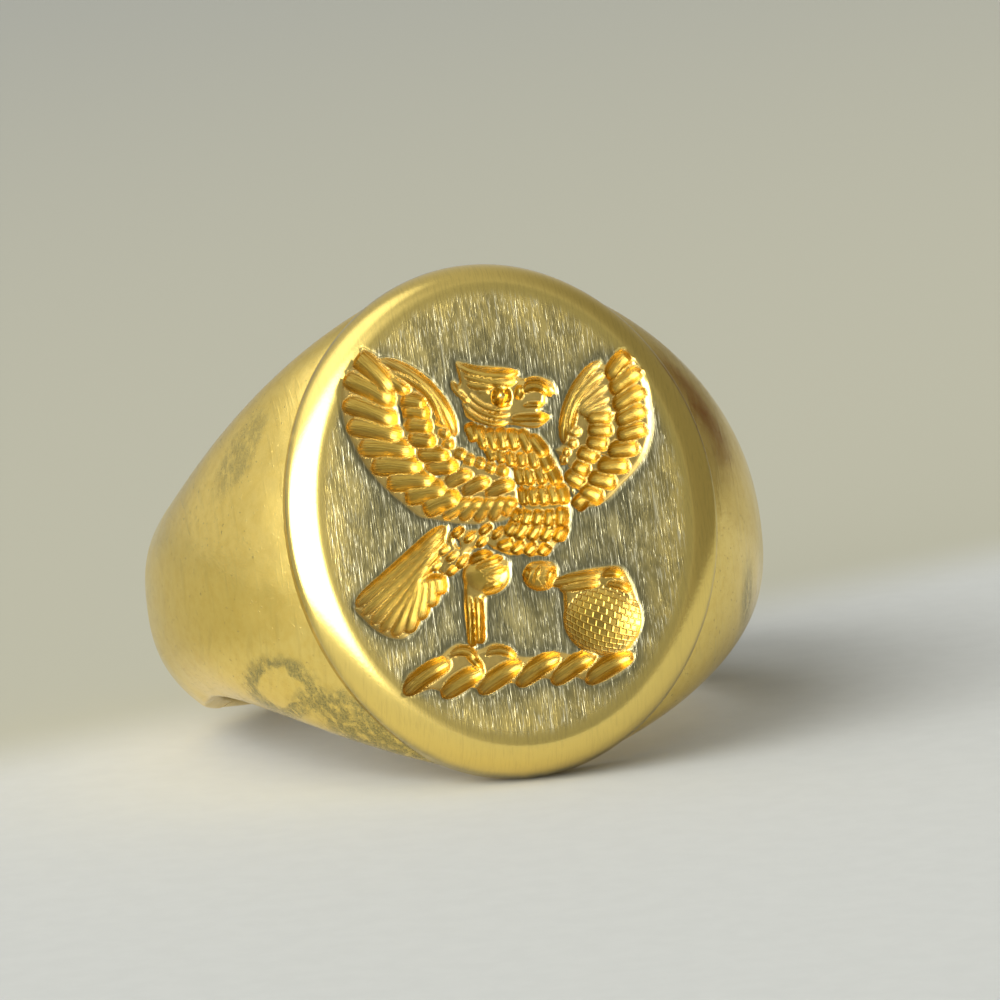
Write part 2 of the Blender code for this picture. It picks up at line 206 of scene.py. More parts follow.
BODY = (
    ([(-0.84, 3.06), (-0.56, 2.94), (-0.20, 2.82), (0.16, 2.80), (0.50, 2.74), (0.82, 2.66),
      (1.10, 2.46)],
     [(-0.66, 2.40), (-0.34, 2.12), (-0.04, 2.02), (0.26, 2.02), (0.62, 1.98), (1.10, 1.84),
      (1.60, 1.66)], 7, 0.24, 0.92, 0.03, 4.6, 2.0),
    ([(-0.26, 2.30), (0.06, 2.16), (0.38, 2.06), (0.76, 2.00), (1.12, 1.96), (1.42, 1.84)],
     [(-0.14, 1.72), (0.16, 1.62), (0.44, 1.46), (0.80, 1.42), (1.20, 1.32), (1.66, 1.18)],
     6, 0.24, 0.94, 0.02, 4.4, 2.0),
    ([(0.62, 1.52), (0.92, 1.48), (1.26, 1.44), (1.60, 1.38)],
     [(0.66, 0.84), (0.98, 0.80), (1.40, 0.78), (1.86, 0.70)], 4, 0.23, 0.94, 0.02, 4.4, 2.0),
    ([(0.66, 0.80), (0.98, 0.82), (1.28, 0.84), (1.58, 0.82), (1.88, 0.78)],
     [(0.68, 0.16), (1.02, 0.12), (1.36, 0.08), (1.70, 0.08), (1.98, 0.06)],
     5, 0.23, 1.00, 0.02, 4.4, 2.0),
    ([(0.50, 0.06), (0.82, 0.06), (1.16, 0.04), (1.50, 0.02), (1.86, 0.06)],
     [(0.24, -0.30), (0.56, -0.46), (0.94, -0.52), (1.34, -0.60), (1.76, -0.66)],
     5, 0.24, 1.04, 0.02, 4.4, 2.0),
    ([(0.36, -0.30), (0.74, -0.36), (1.12, -0.44), (1.50, -0.50), (1.88, -0.56)],
     [(-0.06, -0.74), (0.22, -0.88), (0.64, -0.96), (1.08, -1.04), (1.52, -1.12)],
     5, 0.24, 1.02, 0.02, 4.4, 2.0),
    ([(0.20, -0.92), (0.54, -1.00), (0.90, -1.06), (1.28, -1.12)],
     [(-0.42, -1.10), (0.02, -1.30), (0.46, -1.42), (0.92, -1.48)], 4, 0.23, 0.94, 0.02, 4.4, 2.0),
    ([(-0.50, -0.34), (-0.10, -0.46)], [(-0.96, -0.62), (-0.56, -0.84)], 2, 0.16, 0.80, 0.0, 2.6, 2.0),
    ([(-1.42, -0.36), (-1.02, -0.54), (-0.66, -0.66)],
     [(-1.86, -0.60), (-1.50, -0.84), (-1.10, -1.02)], 3, 0.17, 0.76, 0.0, 2.6, 2.0),
    ([(-1.92, -0.86), (-1.66, -1.04), (-1.40, -1.18)],
     [(-2.42, -1.12), (-2.16, -1.40), (-1.84, -1.66)], 3, 0.18, 0.74, 0.0, 2.6, 2.0),
    ([(-2.26, -1.34), (-1.76, -1.48)], [(-2.72, -1.62), (-2.20, -1.86)], 2, 0.16, 0.70, 0.0, 2.4, 2.0),
)
TAIL = (
    ([(-5.30, -2.56), (-5.16, -2.86), (-4.90, -3.18), (-4.60, -3.46), (-4.22, -3.66),
      (-3.76, -3.60), (-3.34, -3.22), (-2.94, -2.82), (-2.60, -2.46)],
     [(-2.02, -0.26), (-2.08, -0.50), (-2.24, -0.82), (-2.54, -1.12), (-2.86, -1.42),
      (-2.96, -1.66), (-2.84, -1.72), (-2.66, -1.74), (-2.50, -1.76)],
     9, 0.30, 0.92, -0.04, 6.0, 3.0),
)
LEGS = (
    ([(-1.54, -1.72)], [(-0.24, -2.06)], 1, 0.62, 0.86, 0.0, 2.4, 5.0),
    ([(-1.46, -1.56), (-1.42, -1.86), (-1.34, -2.18), (-1.20, -2.46)],
     [(-0.60, -1.28), (-0.28, -1.46), (-0.16, -1.78), (-0.34, -2.22)], 4, 0.20, 0.94, 0.06, 2.6, 2.0),
    ([(-1.56, -2.50), (-1.28, -2.56)], [(-1.68, -4.26), (-1.40, -4.20)], 2, 0.17, 0.90, 0.02, 8.0, 1.0),
    ([(0.28, -2.10)], [(1.40, -2.26)], 1, 0.50, 0.80, 0.0, 2.4, 4.0),
    ([(0.36, -2.36), (0.60, -2.56), (1.04, -2.62)],
     [(0.62, -1.84), (1.00, -1.80), (1.34, -1.92)], 3, 0.17, 0.90, 0.04, 2.6, 2.0),
    ([(-2.54, -4.50)], [(-1.50, -4.86)], 1, 0.20, 0.72, 0.34, 4.0, 2.0),
    ([(-1.36, -4.56)], [(-0.26, -4.78)], 1, 0.18, 0.66, 0.22, 4.0, 2.0),
    ([(-1.92, -4.36)], [(-1.40, -5.02)], 1, 0.16, 0.84, 0.0, 3.0, 1.0),
)
PURSE = (
    ([(1.12, -2.52)], [(3.02, -2.36)], 1, 0.20, 0.80, 0.04, 3.0, 3.0),
    ([(1.40, -2.72)], [(2.90, -2.62)], 1, 0.20, 0.84, 0.04, 3.0, 3.0),
    ([(2.76, -2.44)], [(3.62, -2.48)], 1, 0.17, 0.82, 0.14, 3.0, 2.0),
    ([(2.86, -2.72)], [(3.80, -3.02)], 1, 0.17, 0.90, 0.16, 3.0, 3.0),
)
WREATH = (
    ([(-4.12, -5.54), (-2.92, -5.76), (-1.70, -5.78), (-0.44, -5.66), (0.72, -5.72), (1.84, -5.82)],
     [(-2.38, -4.60), (-1.32, -5.02), (-0.04, -4.94), (1.20, -4.84), (2.34, -4.93), (3.56, -5.06)],
     6, 0.35, 0.92, 0.09, 3.0, 2.0),
)
FANS = (*LEFT_WING, *RIGHT_WING, *HEAD, *BODY, *TAIL, *LEGS, *PURSE, *WREATH)

# Sunk grounds: an outline that lies lower than the flat, its depth share and its wall's width.
GROUNDS = (
    ([(-4.40, 5.92), (-4.02, 5.62), (-3.62, 5.46), (-3.44, 5.56), (-2.94, 5.10), (-2.30, 4.66),
      (-1.64, 4.16), (-1.24, 3.50), (-1.14, 2.86), (-1.30, 2.48), (-0.92, 2.22), (-0.42, 1.80),
      (0.10, 1.66), (0.40, 1.42), (0.52, 0.98), (0.62, 0.62), (0.48, 0.02), (0.00, -0.36),
      (-0.86, -0.42), (-1.70, -0.30), (-2.32, -0.12), (-2.90, 0.06), (-3.36, 0.52),
      (-3.92, 1.12), (-4.42, 1.86), (-4.74, 2.60), (-4.96, 3.40), (-4.98, 4.30), (-4.84, 5.20)],
     0.20, 0.24),
    ([(3.72, 4.80), (3.94, 4.60), (4.20, 4.72), (4.60, 5.02), (4.92, 5.00), (5.10, 4.50),
      (5.30, 3.90), (5.34, 3.00), (5.28, 2.20), (4.96, 1.42), (4.50, 0.84), (3.96, 0.40),
      (3.40, -0.06), (2.80, -0.22), (2.34, 0.04), (2.02, 0.80), (1.94, 1.50), (1.80, 1.90),
      (2.10, 2.10), (2.14, 2.60), (2.24, 3.20), (2.50, 3.64), (3.10, 4.24)], 0.28, 0.26),
    ([(-1.02, 5.16), (-0.46, 5.00), (0.30, 4.88), (0.86, 4.74), (1.12, 4.40), (1.44, 4.44),
      (1.78, 4.38), (2.12, 4.18), (2.26, 3.84), (2.18, 3.60), (1.94, 3.68), (1.86, 3.40),
      (1.66, 3.24), (1.94, 3.06), (1.90, 2.86), (1.50, 2.60), (1.10, 2.62), (0.60, 2.76),
      (0.00, 2.86), (-0.52, 2.96), (-0.92, 3.20), (-0.98, 3.60), (-1.00, 3.90), (-1.24, 4.14),
      (-1.30, 4.44), (-1.14, 4.58), (-1.00, 4.44)], 0.40, 0.20),
    ([(-0.90, 3.10), (-0.40, 2.92), (0.30, 2.86), (0.90, 2.74), (1.30, 2.50), (1.66, 1.98),
      (1.96, 1.50), (2.10, 0.90), (2.20, 0.30), (2.20, -0.20), (2.02, -0.80), (1.58, -1.26),
      (1.16, -1.58), (0.70, -1.62), (0.30, -1.50), (-0.10, -1.52), (-0.60, -1.26),
      (-1.20, -1.20), (-1.70, -1.80), (-2.30, -1.96), (-2.60, -1.60), (-2.30, -1.00),
      (-2.00, -0.40), (-1.20, -0.36), (-0.20, -0.36), (0.40, 0.00), (0.50, 1.00), (0.10, 1.60),
      (-0.40, 1.90), (-0.70, 2.40)], 0.42, 0.30),
    ([(-2.00, -0.12), (-1.88, -0.40), (-1.90, -0.90), (-2.30, -1.60), (-2.40, -2.10),
      (-2.50, -2.54), (-2.90, -3.00), (-3.40, -3.50), (-3.80, -3.82), (-4.30, -3.78),
      (-4.80, -3.46), (-5.16, -3.04), (-5.44, -2.60), (-5.20, -2.36), (-4.40, -1.70),
      (-3.60, -1.20), (-2.90, -0.70)], 0.28, 0.24),
    ([(-1.72, -1.90), (-1.50, -1.46), (-1.00, -1.26), (-0.44, -1.34), (-0.06, -1.62),
      (-0.12, -2.06), (-0.40, -2.50), (-0.92, -2.70), (-1.04, -3.00), (-1.12, -3.60),
      (-1.36, -4.10), (-1.62, -4.36), (-1.82, -4.20), (-1.88, -3.40), (-1.84, -2.70)],
     0.46, 0.28),
    ([(0.22, -2.10), (0.40, -1.80), (0.80, -1.68), (1.30, -1.70), (1.50, -2.06),
      (1.30, -2.40), (1.10, -2.70), (0.70, -2.74), (0.36, -2.50)], 0.36, 0.20),
    ([(1.06, -2.58), (1.50, -2.24), (2.20, -2.08), (3.00, -2.04), (3.50, -2.08), (3.74, -2.40),
      (3.90, -2.90), (4.00, -3.50), (3.98, -4.10), (3.70, -4.70), (3.30, -5.04), (2.60, -5.00),
      (2.00, -4.88), (1.60, -4.40), (1.38, -3.80), (1.42, -3.10), (1.40, -2.76)], 0.50, 0.26),
    ([(-4.10, -5.40), (-3.96, -4.88), (-3.40, -4.66), (-2.90, -4.46), (-2.50, -4.16),
      (-2.10, -4.02), (-1.80, -4.20), (-1.50, -4.30), (-1.00, -4.14), (-0.62, -4.26),
      (-0.30, -4.60), (0.20, -4.72), (1.00, -4.64), (1.50, -4.78), (2.10, -4.92),
      (2.90, -5.00), (3.52, -4.98), (3.56, -5.30), (3.10, -5.66), (2.40, -5.94), (1.94, -5.90),
      (1.50, -5.68), (1.00, -5.80), (0.50, -5.62), (-0.10, -5.80), (-0.60, -5.66),
      (-1.20, -5.80), (-1.60, -5.80), (-2.10, -5.58), (-2.70, -5.76), (-3.20, -5.56),
      (-3.80, -5.68)], 0.30, 0.22),
)

# Spots of the flat that the graver left standing: middle, half length, half width, turn.
ISLANDS = (
    (-3.04, 3.52, 0.36, 0.09, 1.60), (-2.92, 2.62, 0.20, 0.08, 2.00), (-2.16, 1.42, 0.34, 0.10, 0.20),
    (-1.28, 1.78, 0.20, 0.09, 0.90), (-1.56, 0.82, 0.16, 0.07, 0.00), (0.52, 1.20, 0.14, 0.30, 0.00),
    (-0.40, -0.48, 0.22, 0.08, -0.40), (-0.84, -1.02, 0.24, 0.10, -0.50), (4.14, 2.72, 0.10, 0.20, 0.40),
    (4.10, 1.92, 0.18, 0.08, -0.40), (2.16, 1.22, 0.12, 0.16, 0.00), (3.48, 1.48, 0.16, 0.07, -0.30),
    (2.44, 0.42, 0.10, 0.16, 0.60), (-2.66, -1.74, 0.10, 0.16, 0.00), (0.10, 2.84, 0.50, 0.05, -0.08),
    (-1.72, -0.80, 0.08, 0.20, 0.30),
)

# Bowls under the cuts: middle, half width, half height and depth share. They are the thigh, the
# raised foot, the purse and the cheek.
PURSE_BOWL = (2.70, -3.80, 1.32, 1.22, 1.10)
BOWLS = ((-0.92, -1.98, 0.80, 0.68, 0.86), (0.84, -2.20, 0.58, 0.50, 0.80), PURSE_BOWL,
         (0.16, 3.80, 0.92, 0.62, 0.58))
EYE = (0.42, 3.86)


class FaceField:
    """The field of the seal as flat arrays: places in millimetres, the depth cut so far, how far
    each place lies inside the nearest outline, and the phase of the hairlines."""

    def __init__(self, sideways, upward):
        self.x = sideways
        self.y = upward
        self.depth = np.zeros_like(sideways)
        self.inside = np.full_like(sideways, -9.0)
        self.lines = np.zeros_like(sideways)

    def near(self, middle, reach):
        """Numbers of the places in a square round the middle."""
        close = (np.abs(self.x - middle[0]) < reach) & (np.abs(self.y - middle[1]) < reach)
        return np.nonzero(close)[0]


def smooth_step(share):
    """3 s^2 - 2 s^3 of the share, held between 0 and 1."""
    share = np.clip(share, 0, 1)
    return share * share * (3 - 2 * share)


def sink_ground(face, outline, depth, wall):
    """Lowers the inside of a closed outline: depth times the smooth step of the distance to the
    outline over the wall's width. Distance is to the nearest stretch of the outline, and a place
    is inside if a line to its right crosses the outline an odd number of times."""
    ring = smooth_curve(outline, 4 * len(outline), closed=True)
    middle = (ring.max(0) + ring.min(0)) / 2
    spots = face.near(middle, (ring.max(0) - ring.min(0)).max() / 2 + 0.8)
    x, y = face.x[spots], face.y[spots]
    nearest = np.full_like(x, 9.0)
    crossed = np.zeros(len(spots), bool)
    for (ax, ay), (bx, by) in zip(ring, np.roll(ring, -1, axis=0)):
        ex, ey = bx - ax, by - ay
        share = np.clip(((x - ax) * ex + (y - ay) * ey) / (ex * ex + ey * ey), 0, 1)
        nearest = np.minimum(nearest, np.hypot(x - ax - share * ex, y - ay - share * ey))
        spans = (ay > y) != (by > y)
        crossed ^= spans & (x < ax + (y - ay) * ex / (ey if ey else 1e-9))
    signed = np.where(crossed, nearest, -nearest)
    face.inside[spots] = np.maximum(face.inside[spots], signed)
    face.depth[spots] = np.maximum(face.depth[spots], depth * smooth_step(signed / wall))


def leave_island(face, x, y, half_length, half_width, turn):
    """Brings the ground back up to the flat over a small ellipse."""
    spots = face.near((x, y), 2 * half_length + 2 * half_width)
    dx, dy = face.x[spots] - x, face.y[spots] - y
    along = (dx * math.cos(turn) + dy * math.sin(turn)) / half_length
    across = (dy * math.cos(turn) - dx * math.sin(turn)) / half_width
    face.depth[spots] *= smooth_step((np.hypot(along, across) - 0.8) / 0.5)


def cut_gouge(face, tip, root, half_width, depth, bow, bluntness, hairlines):
    """One graver cut from its tip to its root: depth times (1 - |along|^bluntness - across^2) to
    the power 0.65, a fifth deeper at the root than in the middle. The cut bows sideways by
    bow (1 - along^2)."""
    tip, root = np.asarray(tip), np.asarray(root)
    middle, run = (tip + root) / 2, (root - tip) / 2
    half = np.hypot(*run)
    ax, ay = run / half
    spots = face.near(middle, half + half_width + abs(bow))
    dx, dy = face.x[spots] - middle[0], face.y[spots] - middle[1]
    along = (dx * ax + dy * ay) / half
    across = (dy * ax - dx * ay - bow * (1 - along ** 2)) / half_width
    room = np.clip(1 - np.abs(along) ** bluntness - across ** 2, 0, 1)
    cut = depth * (1 + 0.2 * np.clip(along, -1, 1)) * room ** 0.65
    deeper = cut > face.depth[spots]
    won = spots[deeper]
    face.depth[won] = cut[deeper]
    face.lines[won] = across[deeper] * hairlines


def hollow(face, x, y, half_width, half_height, depth):
    """A bowl: depth times (1 - r^2)^0.6, where r is the oval radius."""
    spots = face.near((x, y), max(half_width, half_height))
    r = np.hypot((face.x[spots] - x) / half_width, (face.y[spots] - y) / half_height)
    cut = depth * np.clip(1 - r * r, 0, 1) ** 0.6
    deeper = cut > face.depth[spots]
    face.depth[spots[deeper]] = cut[deeper]
    face.lines[spots[deeper]] = 0


def weave_places(face):
    """Rows and posts of the purse's weave, and 1 on its bowl: a turned pair of axes bent round
    the bowl by 1 + 0.35 r^2, r the oval radius."""
    x, y, half_width, half_height, _ = PURSE_BOWL
    dx, dy = (face.x - x) / half_width, (face.y - y) / half_height
    r = np.hypot(dx, dy)
    bend = 1 + 0.35 * r * r
    rows = (0.45 * dx + 0.89 * dy) * bend
    posts = (0.92 * dx - 0.24 * dy) * bend
    return rows, posts, smooth_step((1 - r) / 0.15)


def cut_eye(face, depth):
    """The eye: a round bed with a ball left standing in it, and a groove between them. The ball
    is half a sphere and the groove a bell curve of the distance to its middle line."""
    bed_radius, groove_radius, groove_width, ball_radius = 0.36, 0.27, 0.055, 0.15
    spots = face.near(EYE, bed_radius)
    r = np.hypot(face.x[spots] - EYE[0], face.y[spots] - EYE[1])
    ball = np.clip(1 - (r / ball_radius) ** 2, 0, 1) ** 0.5
    groove = np.exp(-((r - groove_radius) / groove_width) ** 2)
    bed = smooth_step((bed_radius - r) / 0.1)
    face.depth[spots] += bed * depth * (0.10 + 0.34 * groove - 0.36 * ball)
    face.lines[spots[r < bed_radius]] = 0


def engrave_crest(face, full_depth):
    """The whole crest, in millimetres of depth: grounds first, then islands, bowls and cuts."""
    for outline, share, wall in GROUNDS:
        sink_ground(face, outline, share * full_depth, wall)
    for island in ISLANDS:
        leave_island(face, *island)
    for x, y, half_width, half_height, share in BOWLS:
        hollow(face, x, y, half_width, half_height, share * full_depth)
    for tips, roots, count, half_width, share, bow, bluntness, hairlines in FANS:
        ends = smooth_curve(tips, count) if count > 1 else np.array(tips)
        starts = smooth_curve(roots, count) if count > 1 else np.array(roots)
        for tip, root in zip(ends, starts):
            cut_gouge(face, tip, root, half_width, share * full_depth, bow, bluntness, hairlines)
    cut_eye(face, full_depth)


# ---------------------------------------------------------------------------------------------
# The table and the band

def table_grid(columns, rows, centring):
    """A square grid bent into a disc: x = u sqrt(1 - v^2/2), y = v sqrt(1 - u^2/2), with u and v
    packed towards the middle as (1 - c) s + c s^3."""
    u = np.linspace(-1, 1, columns + 1)
    v = np.linspace(-1, 1, rows + 1)
    u, v = ((1 - centring) * s + centring * s ** 3 for s in (u, v))
    u, v = np.meshgrid(u, v)
    return u * np.sqrt(1 - v * v / 2), v * np.sqrt(1 - u * u / 2)


def rim_loop(columns, rows):
    """Point numbers round the edge of the grid, in order."""
    wide = columns + 1
    bottom = np.arange(columns)
    right = columns + wide * np.arange(rows)
    top = rows * wide + columns - np.arange(columns)
    left = wide * (rows - np.arange(rows))
    return np.concatenate([bottom, right, top, left])


def worn_rim(ring, sideness):
    """Distances out from the flat's edge and drops below it, one row for each step down the rim.

    At the table's top and bottom (sideness 0) the rim is a quarter of an oval. At its sides
    (sideness 1) it is a broad bevel, whose steps are added up: the slope turns by 19 degrees at
    once, by 23 more along the bevel, and by the last 48 in the outer quarter. Between them it is
    a mean of the two."""
    turn = np.linspace(0, QUARTER_TURN, ring.rim_rows + 1)[1:, None]
    steps = 40
    s = np.linspace(0, 1, steps * ring.rim_rows + 1)
    slope = np.radians(19 * smooth_step(s / 0.07) + 23 * s + 48 * smooth_step((s - 0.74) / 0.26))
    out, fall = np.cumsum(np.cos(slope)), np.cumsum(np.sin(slope))
    out, fall = (ring.rim_width * run[steps::steps, None] / out[-1] for run in (out, fall))
    return (ring.rim_width * np.sin(turn) * (1 - sideness) + out * sideness,
            ring.rim_drop * (1 - np.cos(turn)) * (1 - sideness) + fall * sideness)


def table_mesh(ring, crest):
    """The table as one closed skin: the engraved field, the worn rim, the side and the back.

    The field stands at the face distance, less a slight dome that grows with the fourth power of
    the oval radius, less the engraving. The back is a fan round its middle. The values are
    numbers at each point, for the table's finish."""
    columns, rows = ring.grid_columns, ring.grid_rows
    across, along = table_grid(columns, rows, centring=0.15)
    half_width = ring.table_width / 2 - ring.rim_width
    half_height = ring.table_height / 2 - ring.rim_width
    x, y = (across * half_width).ravel(), (along * half_height).ravel()
    radius = np.hypot(across, along).ravel()
    face = FaceField(x / MM, y / MM)
    engrave_crest(face, crest.depth / MM)
    field = np.stack([x, ring.face_distance - ring.dome * radius ** 4 - face.depth * MM, y], axis=1)

    loop = rim_loop(columns, rows)
    edge = np.stack([across.ravel()[loop], along.ravel()[loop]], axis=1)
    out, drop = worn_rim(ring, edge[:, 0] ** 2)
    back_drop = np.full((1, len(loop)), ring.face_distance - ring.table_back_distance)
    drop = np.vstack([ring.dome + drop, (ring.dome + drop[-1:] + back_drop) / 2, back_drop])
    out = np.vstack([out, out[-1:], out[-1:]])
    rim = np.stack([edge[:, 0] * (half_width + out), ring.face_distance - drop,
                    edge[:, 1] * (half_height + out)], axis=-1).reshape(-1, 3)
    middle = np.array([[0.0, ring.table_back_distance, 0.0]])
    points = np.vstack([field, rim, middle])

    first = len(field)
    count = len(loop)
    quads = grid_quads(rows + 1, columns + 1, closed=False)
    numbers = np.concatenate([loop, first + np.arange(len(rim))])
    rim_quads = numbers[grid_quads(len(drop) + 1, count, closed=True)][:, ::-1]
    last = numbers[-count:]
    fan = np.stack([last, np.roll(last, -1), np.full(count, len(points) - 1)], axis=1)[:, ::-1]

    def with_rim(values, rim_value=0.0):
        """The field's values, and one value for all of the rim, the side and the back."""
        return np.concatenate([values, np.full(len(rim) + 1, rim_value)])

    rows_of_weave, posts_of_weave, bowl = weave_places(face)
    # Painted shade: the outer rows of the rim, the table's side and its back are marked for darkening.
    down_rim = np.arange(1, len(drop) + 1) / ring.rim_rows
    rim_foot_shade = np.repeat(smooth_step((down_rim - 0.70) / 0.25), count)
    values = {
        "cut": with_rim(face.depth / (crest.depth / MM)),
        "hairlines": with_rim(face.lines),
        "field": with_rim(smooth_step((1.0 - radius) / 0.06)),
        "weave_rows": with_rim(rows_of_weave),
        "weave_posts": with_rim(posts_of_weave),
        "bowl": with_rim(bowl),
        "rim_foot_shade": np.concatenate([np.zeros(len(field)), rim_foot_shade, [1.0]]),
        "edge": with_rim(smooth_step((radius - 0.62) / 0.38), 1.0),
        # How near each place lies to the crest's outlines, for the painted shadow round the crest.
        "near_crest": with_rim(np.exp(np.minimum(face.inside, 0) / 0.42)),
    }
    return points, [np.vstack([quads, rim_quads]), fan], values


def band_section(angle, v, ring):
    """Middle-to-edge section of the shank from the quarter turn (side sizes) to the half turn
    (back sizes): the crown falls with the power 2.6 of the place across."""
    share = (1 - np.cos(np.pi * (angle - QUARTER_TURN) / QUARTER_TURN)) / 2
    crest = ring.bore_radius + ring.side_thickness + (ring.back_thickness - ring.side_thickness) * share
    crown = ring.side_crown + (ring.back_crown - ring.side_crown) * share
    half_width = (ring.side_width + (ring.back_width - ring.side_width) * share) / 2
    return crest - crown * np.abs(v) ** 2.6, v * half_width


def shoulder_rows(v, ring, count):
    """Angle, radius and place along the finger from the middle of the seat to the quarter turn.

    Under the table the rows run straight to the oval's edge, which they reach from 80 degrees
    below the table's side to 80 degrees above it. A collar rises there round the table by
    collar (1 - |v|^3)^0.7, v the place across. From there the radius and the width fade to the
    band's with (1 - u)^2 (1 + f u), f the fullness or the taper."""
    seat_rows = 13
    corner = v * math.radians(80)
    edge_x = (ring.table_width / 2 - ring.seat_inset) * np.cos(corner)
    edge_z = (ring.table_height / 2 - ring.seat_inset) * np.sin(corner)
    seat_x = np.linspace(0, 1, seat_rows)[:, None] * edge_x
    seat = (np.arctan2(seat_x, ring.seat_distance), np.hypot(seat_x, ring.seat_distance),
            np.broadcast_to(edge_z, seat_x.shape))
    edge_level = ring.seat_distance + ring.collar * (1 - np.abs(v) ** 3) ** 0.7
    edge_angle = np.arctan2(edge_x, edge_level)
    edge_radius = np.hypot(edge_x, edge_level)
    side_radius, side_z = band_section(QUARTER_TURN, v, ring)
    u = np.linspace(0, 1, count)[:, None]
    swell = (1 - u) ** 2 * (1 + ring.fullness * u)
    taper = (1 - u) ** 2 * (1 + ring.taper * u)
    flare = (edge_angle + (QUARTER_TURN - edge_angle) * u,
             side_radius + (edge_radius - side_radius) * swell, side_z + (edge_z - side_z) * taper)
    return [np.vstack(pair) for pair in zip(seat, flare)]


def shank_rows(v, start, end, ring, count):
    """Angle, radius and place along the finger of the shank between two angles."""
    angle = np.linspace(start, end, count)[:, None]
    radius, axial = band_section(angle, v[None], ring)
    return [np.broadcast_to(angle, radius.shape), radius, axial]


def ring_places(angle, radius, axial):
    """(radius sin angle, radius cos angle, axial)."""
    return np.stack([radius * np.sin(angle), radius * np.cos(angle), axial], axis=-1)


def band_loops(angle, radius, axial, ring, samples):
    """Closed sections through the band, one for each row: over the outside, down the edge, back
    through the bore and up again. Each is spread evenly along its length, and its corners are
    rounded with a running mean as long as the edge rounding."""
    inset = ring.bore_inset * axial / np.abs(axial).max(axis=1, keepdims=True)
    outside = ring_places(angle, radius, axial)
    bore = ring_places(angle, np.full_like(angle, ring.bore_radius), axial - inset)
    rough = np.concatenate([outside, bore[:, ::-1], outside[:, :1]], axis=1)
    steps = np.linalg.norm(np.diff(rough, axis=1), axis=2)
    length = np.concatenate([np.zeros((len(rough), 1)), np.cumsum(steps, axis=1)], axis=1)
    even = np.empty((len(rough), samples, 3))
    for row, (places, reach) in enumerate(zip(rough, length)):
        marks = np.linspace(0, reach[-1], samples, endpoint=False)
        even[row] = np.stack([np.interp(marks, reach, places[:, k]) for k in range(3)], axis=1)
    spacing = length[:, -1].mean() / samples
    reach = max(1, round(ring.edge_round / spacing))
    weights = np.hanning(2 * reach + 3)[1:-1]
    weights /= weights.sum()
    return sum(weight * np.roll(even, shift, axis=1)
               for weight, shift in zip(weights, range(-reach, reach + 1)))


def band_mesh(loops):
    """Points and faces of a run of closed sections with a fan over each end."""
    rows, samples, _ = loops.shape
    ends = np.stack([loops[0].mean(axis=0), loops[-1].mean(axis=0)])
    points = np.vstack([loops.reshape(-1, 3), ends])
    quads = grid_quads(rows, samples, closed=True)
    first = np.arange(samples)
    last = first + (rows - 1) * samples
    start = np.stack([np.roll(first, -1), first, np.full(samples, rows * samples)], axis=1)
    end = np.stack([last, np.roll(last, -1), np.full(samples, rows * samples + 1)], axis=1)
    return points, [quads, np.vstack([start, end])]


def across_band():
    """97 places across the band from edge to edge, packed towards the edges as the sine of an
    even spread."""
    return np.sin(np.linspace(-QUARTER_TURN, QUARTER_TURN, 97))


def half_seam(ring):
    """Half the angle that a shank seam takes up at the middle of the wall."""
    return ring.solder_thickness / 2 / (ring.bore_radius + ring.side_thickness / 2)


def table_seam(ring):
    """The seam under the table: an oval plate whose edge runs from the table's side in to the
    seat as a shallow hollow, closed with a fan on each face."""
    setback = 0.00001
    turn = np.linspace(0, 2 * math.pi, 240, endpoint=False)
    share = np.linspace(0, 1, 6)
    inset = setback + ring.seat_inset * share ** 1.5
    level = ring.table_back_distance + (ring.seat_distance - ring.table_back_distance) * share
    x = (ring.table_width / 2 - inset)[:, None] * np.cos(turn)
    y = (ring.table_height / 2 - inset)[:, None] * np.sin(turn)
    return band_mesh(np.stack([x, np.broadcast_to(level[:, None], x.shape), y], axis=-1))


# ---------------------------------------------------------------------------------------------
# Finishes

def put(tree, kind, sockets, **settings):
    """A shader node with its settings, and a value or a link at each socket."""
    made = tree.nodes.new(kind)
    for name, value in settings.items():
        setattr(made, name, value)
    for name, value in sockets.items():
        if isinstance(value, bpy.types.NodeSocket):
            tree.links.new(value, made.inputs[name])
        else:
            made.inputs[name].default_value = value
    return made


def calc(tree, operation, first, second=0.0, clamp=False):
    """Arithmetic on one or two numbers, by the name of the operation."""
    return put(tree, "ShaderNodeMath", {0: first, 1: second}, operation=operation,
               use_clamp=clamp).outputs[0]


def blend(tree, share, first, second):
    """A colour between two, by a share."""
    return put(tree, "ShaderNodeMix", {0: share, 6: first, 7: second}, data_type="RGBA").outputs[2]


def ramp(tree, value, low, high, to_low=0.0, to_high=1.0):
    """A value taken smoothly from one range to another."""
    return put(tree, "ShaderNodeMapRange", {"Value": value, "From Min": low, "From Max": high,
                                            "To Min": to_low, "To Max": to_high},
               interpolation_type="SMOOTHSTEP").outputs[0]


def noise(tree, place, scale, detail, roughness, distortion=0.0):
    """Smooth noise from 0 to 1."""
    return put(tree, "ShaderNodeTexNoise",
               {"Vector": place, "Scale": scale, "Detail": detail, "Roughness": roughness,
                "Distortion": distortion}).outputs[0]


def attribute(tree, name):
    """The piece's number of that name."""
    return put(tree, "ShaderNodeAttribute", {}, attribute_name=name).outputs["Fac"]


def turned(tree, place, turn, stretch):
    """The place turned about the face axis and stretched."""
    return put(tree, "ShaderNodeMapping", {"Vector": place, "Rotation": (0, turn, 0),
                                           "Scale": stretch}).outputs[0]


def ring_millimetres(tree, ring):
    """Places on the ring in its own axes and in millimetres: sideways, away from the face, up
    along the finger."""
    axes, middle = ring_axes(ring.bore_radius + ring.back_thickness)
    lean = math.asin(axes[1][2])
    place = put(tree, "ShaderNodeTexCoord", {}).outputs["Object"]
    return put(tree, "ShaderNodeMapping", {"Vector": place, "Location": tuple(middle),
                                           "Rotation": (-lean, 0, 0), "Scale": (MM, MM, MM)},
               vector_type="TEXTURE").outputs[0]


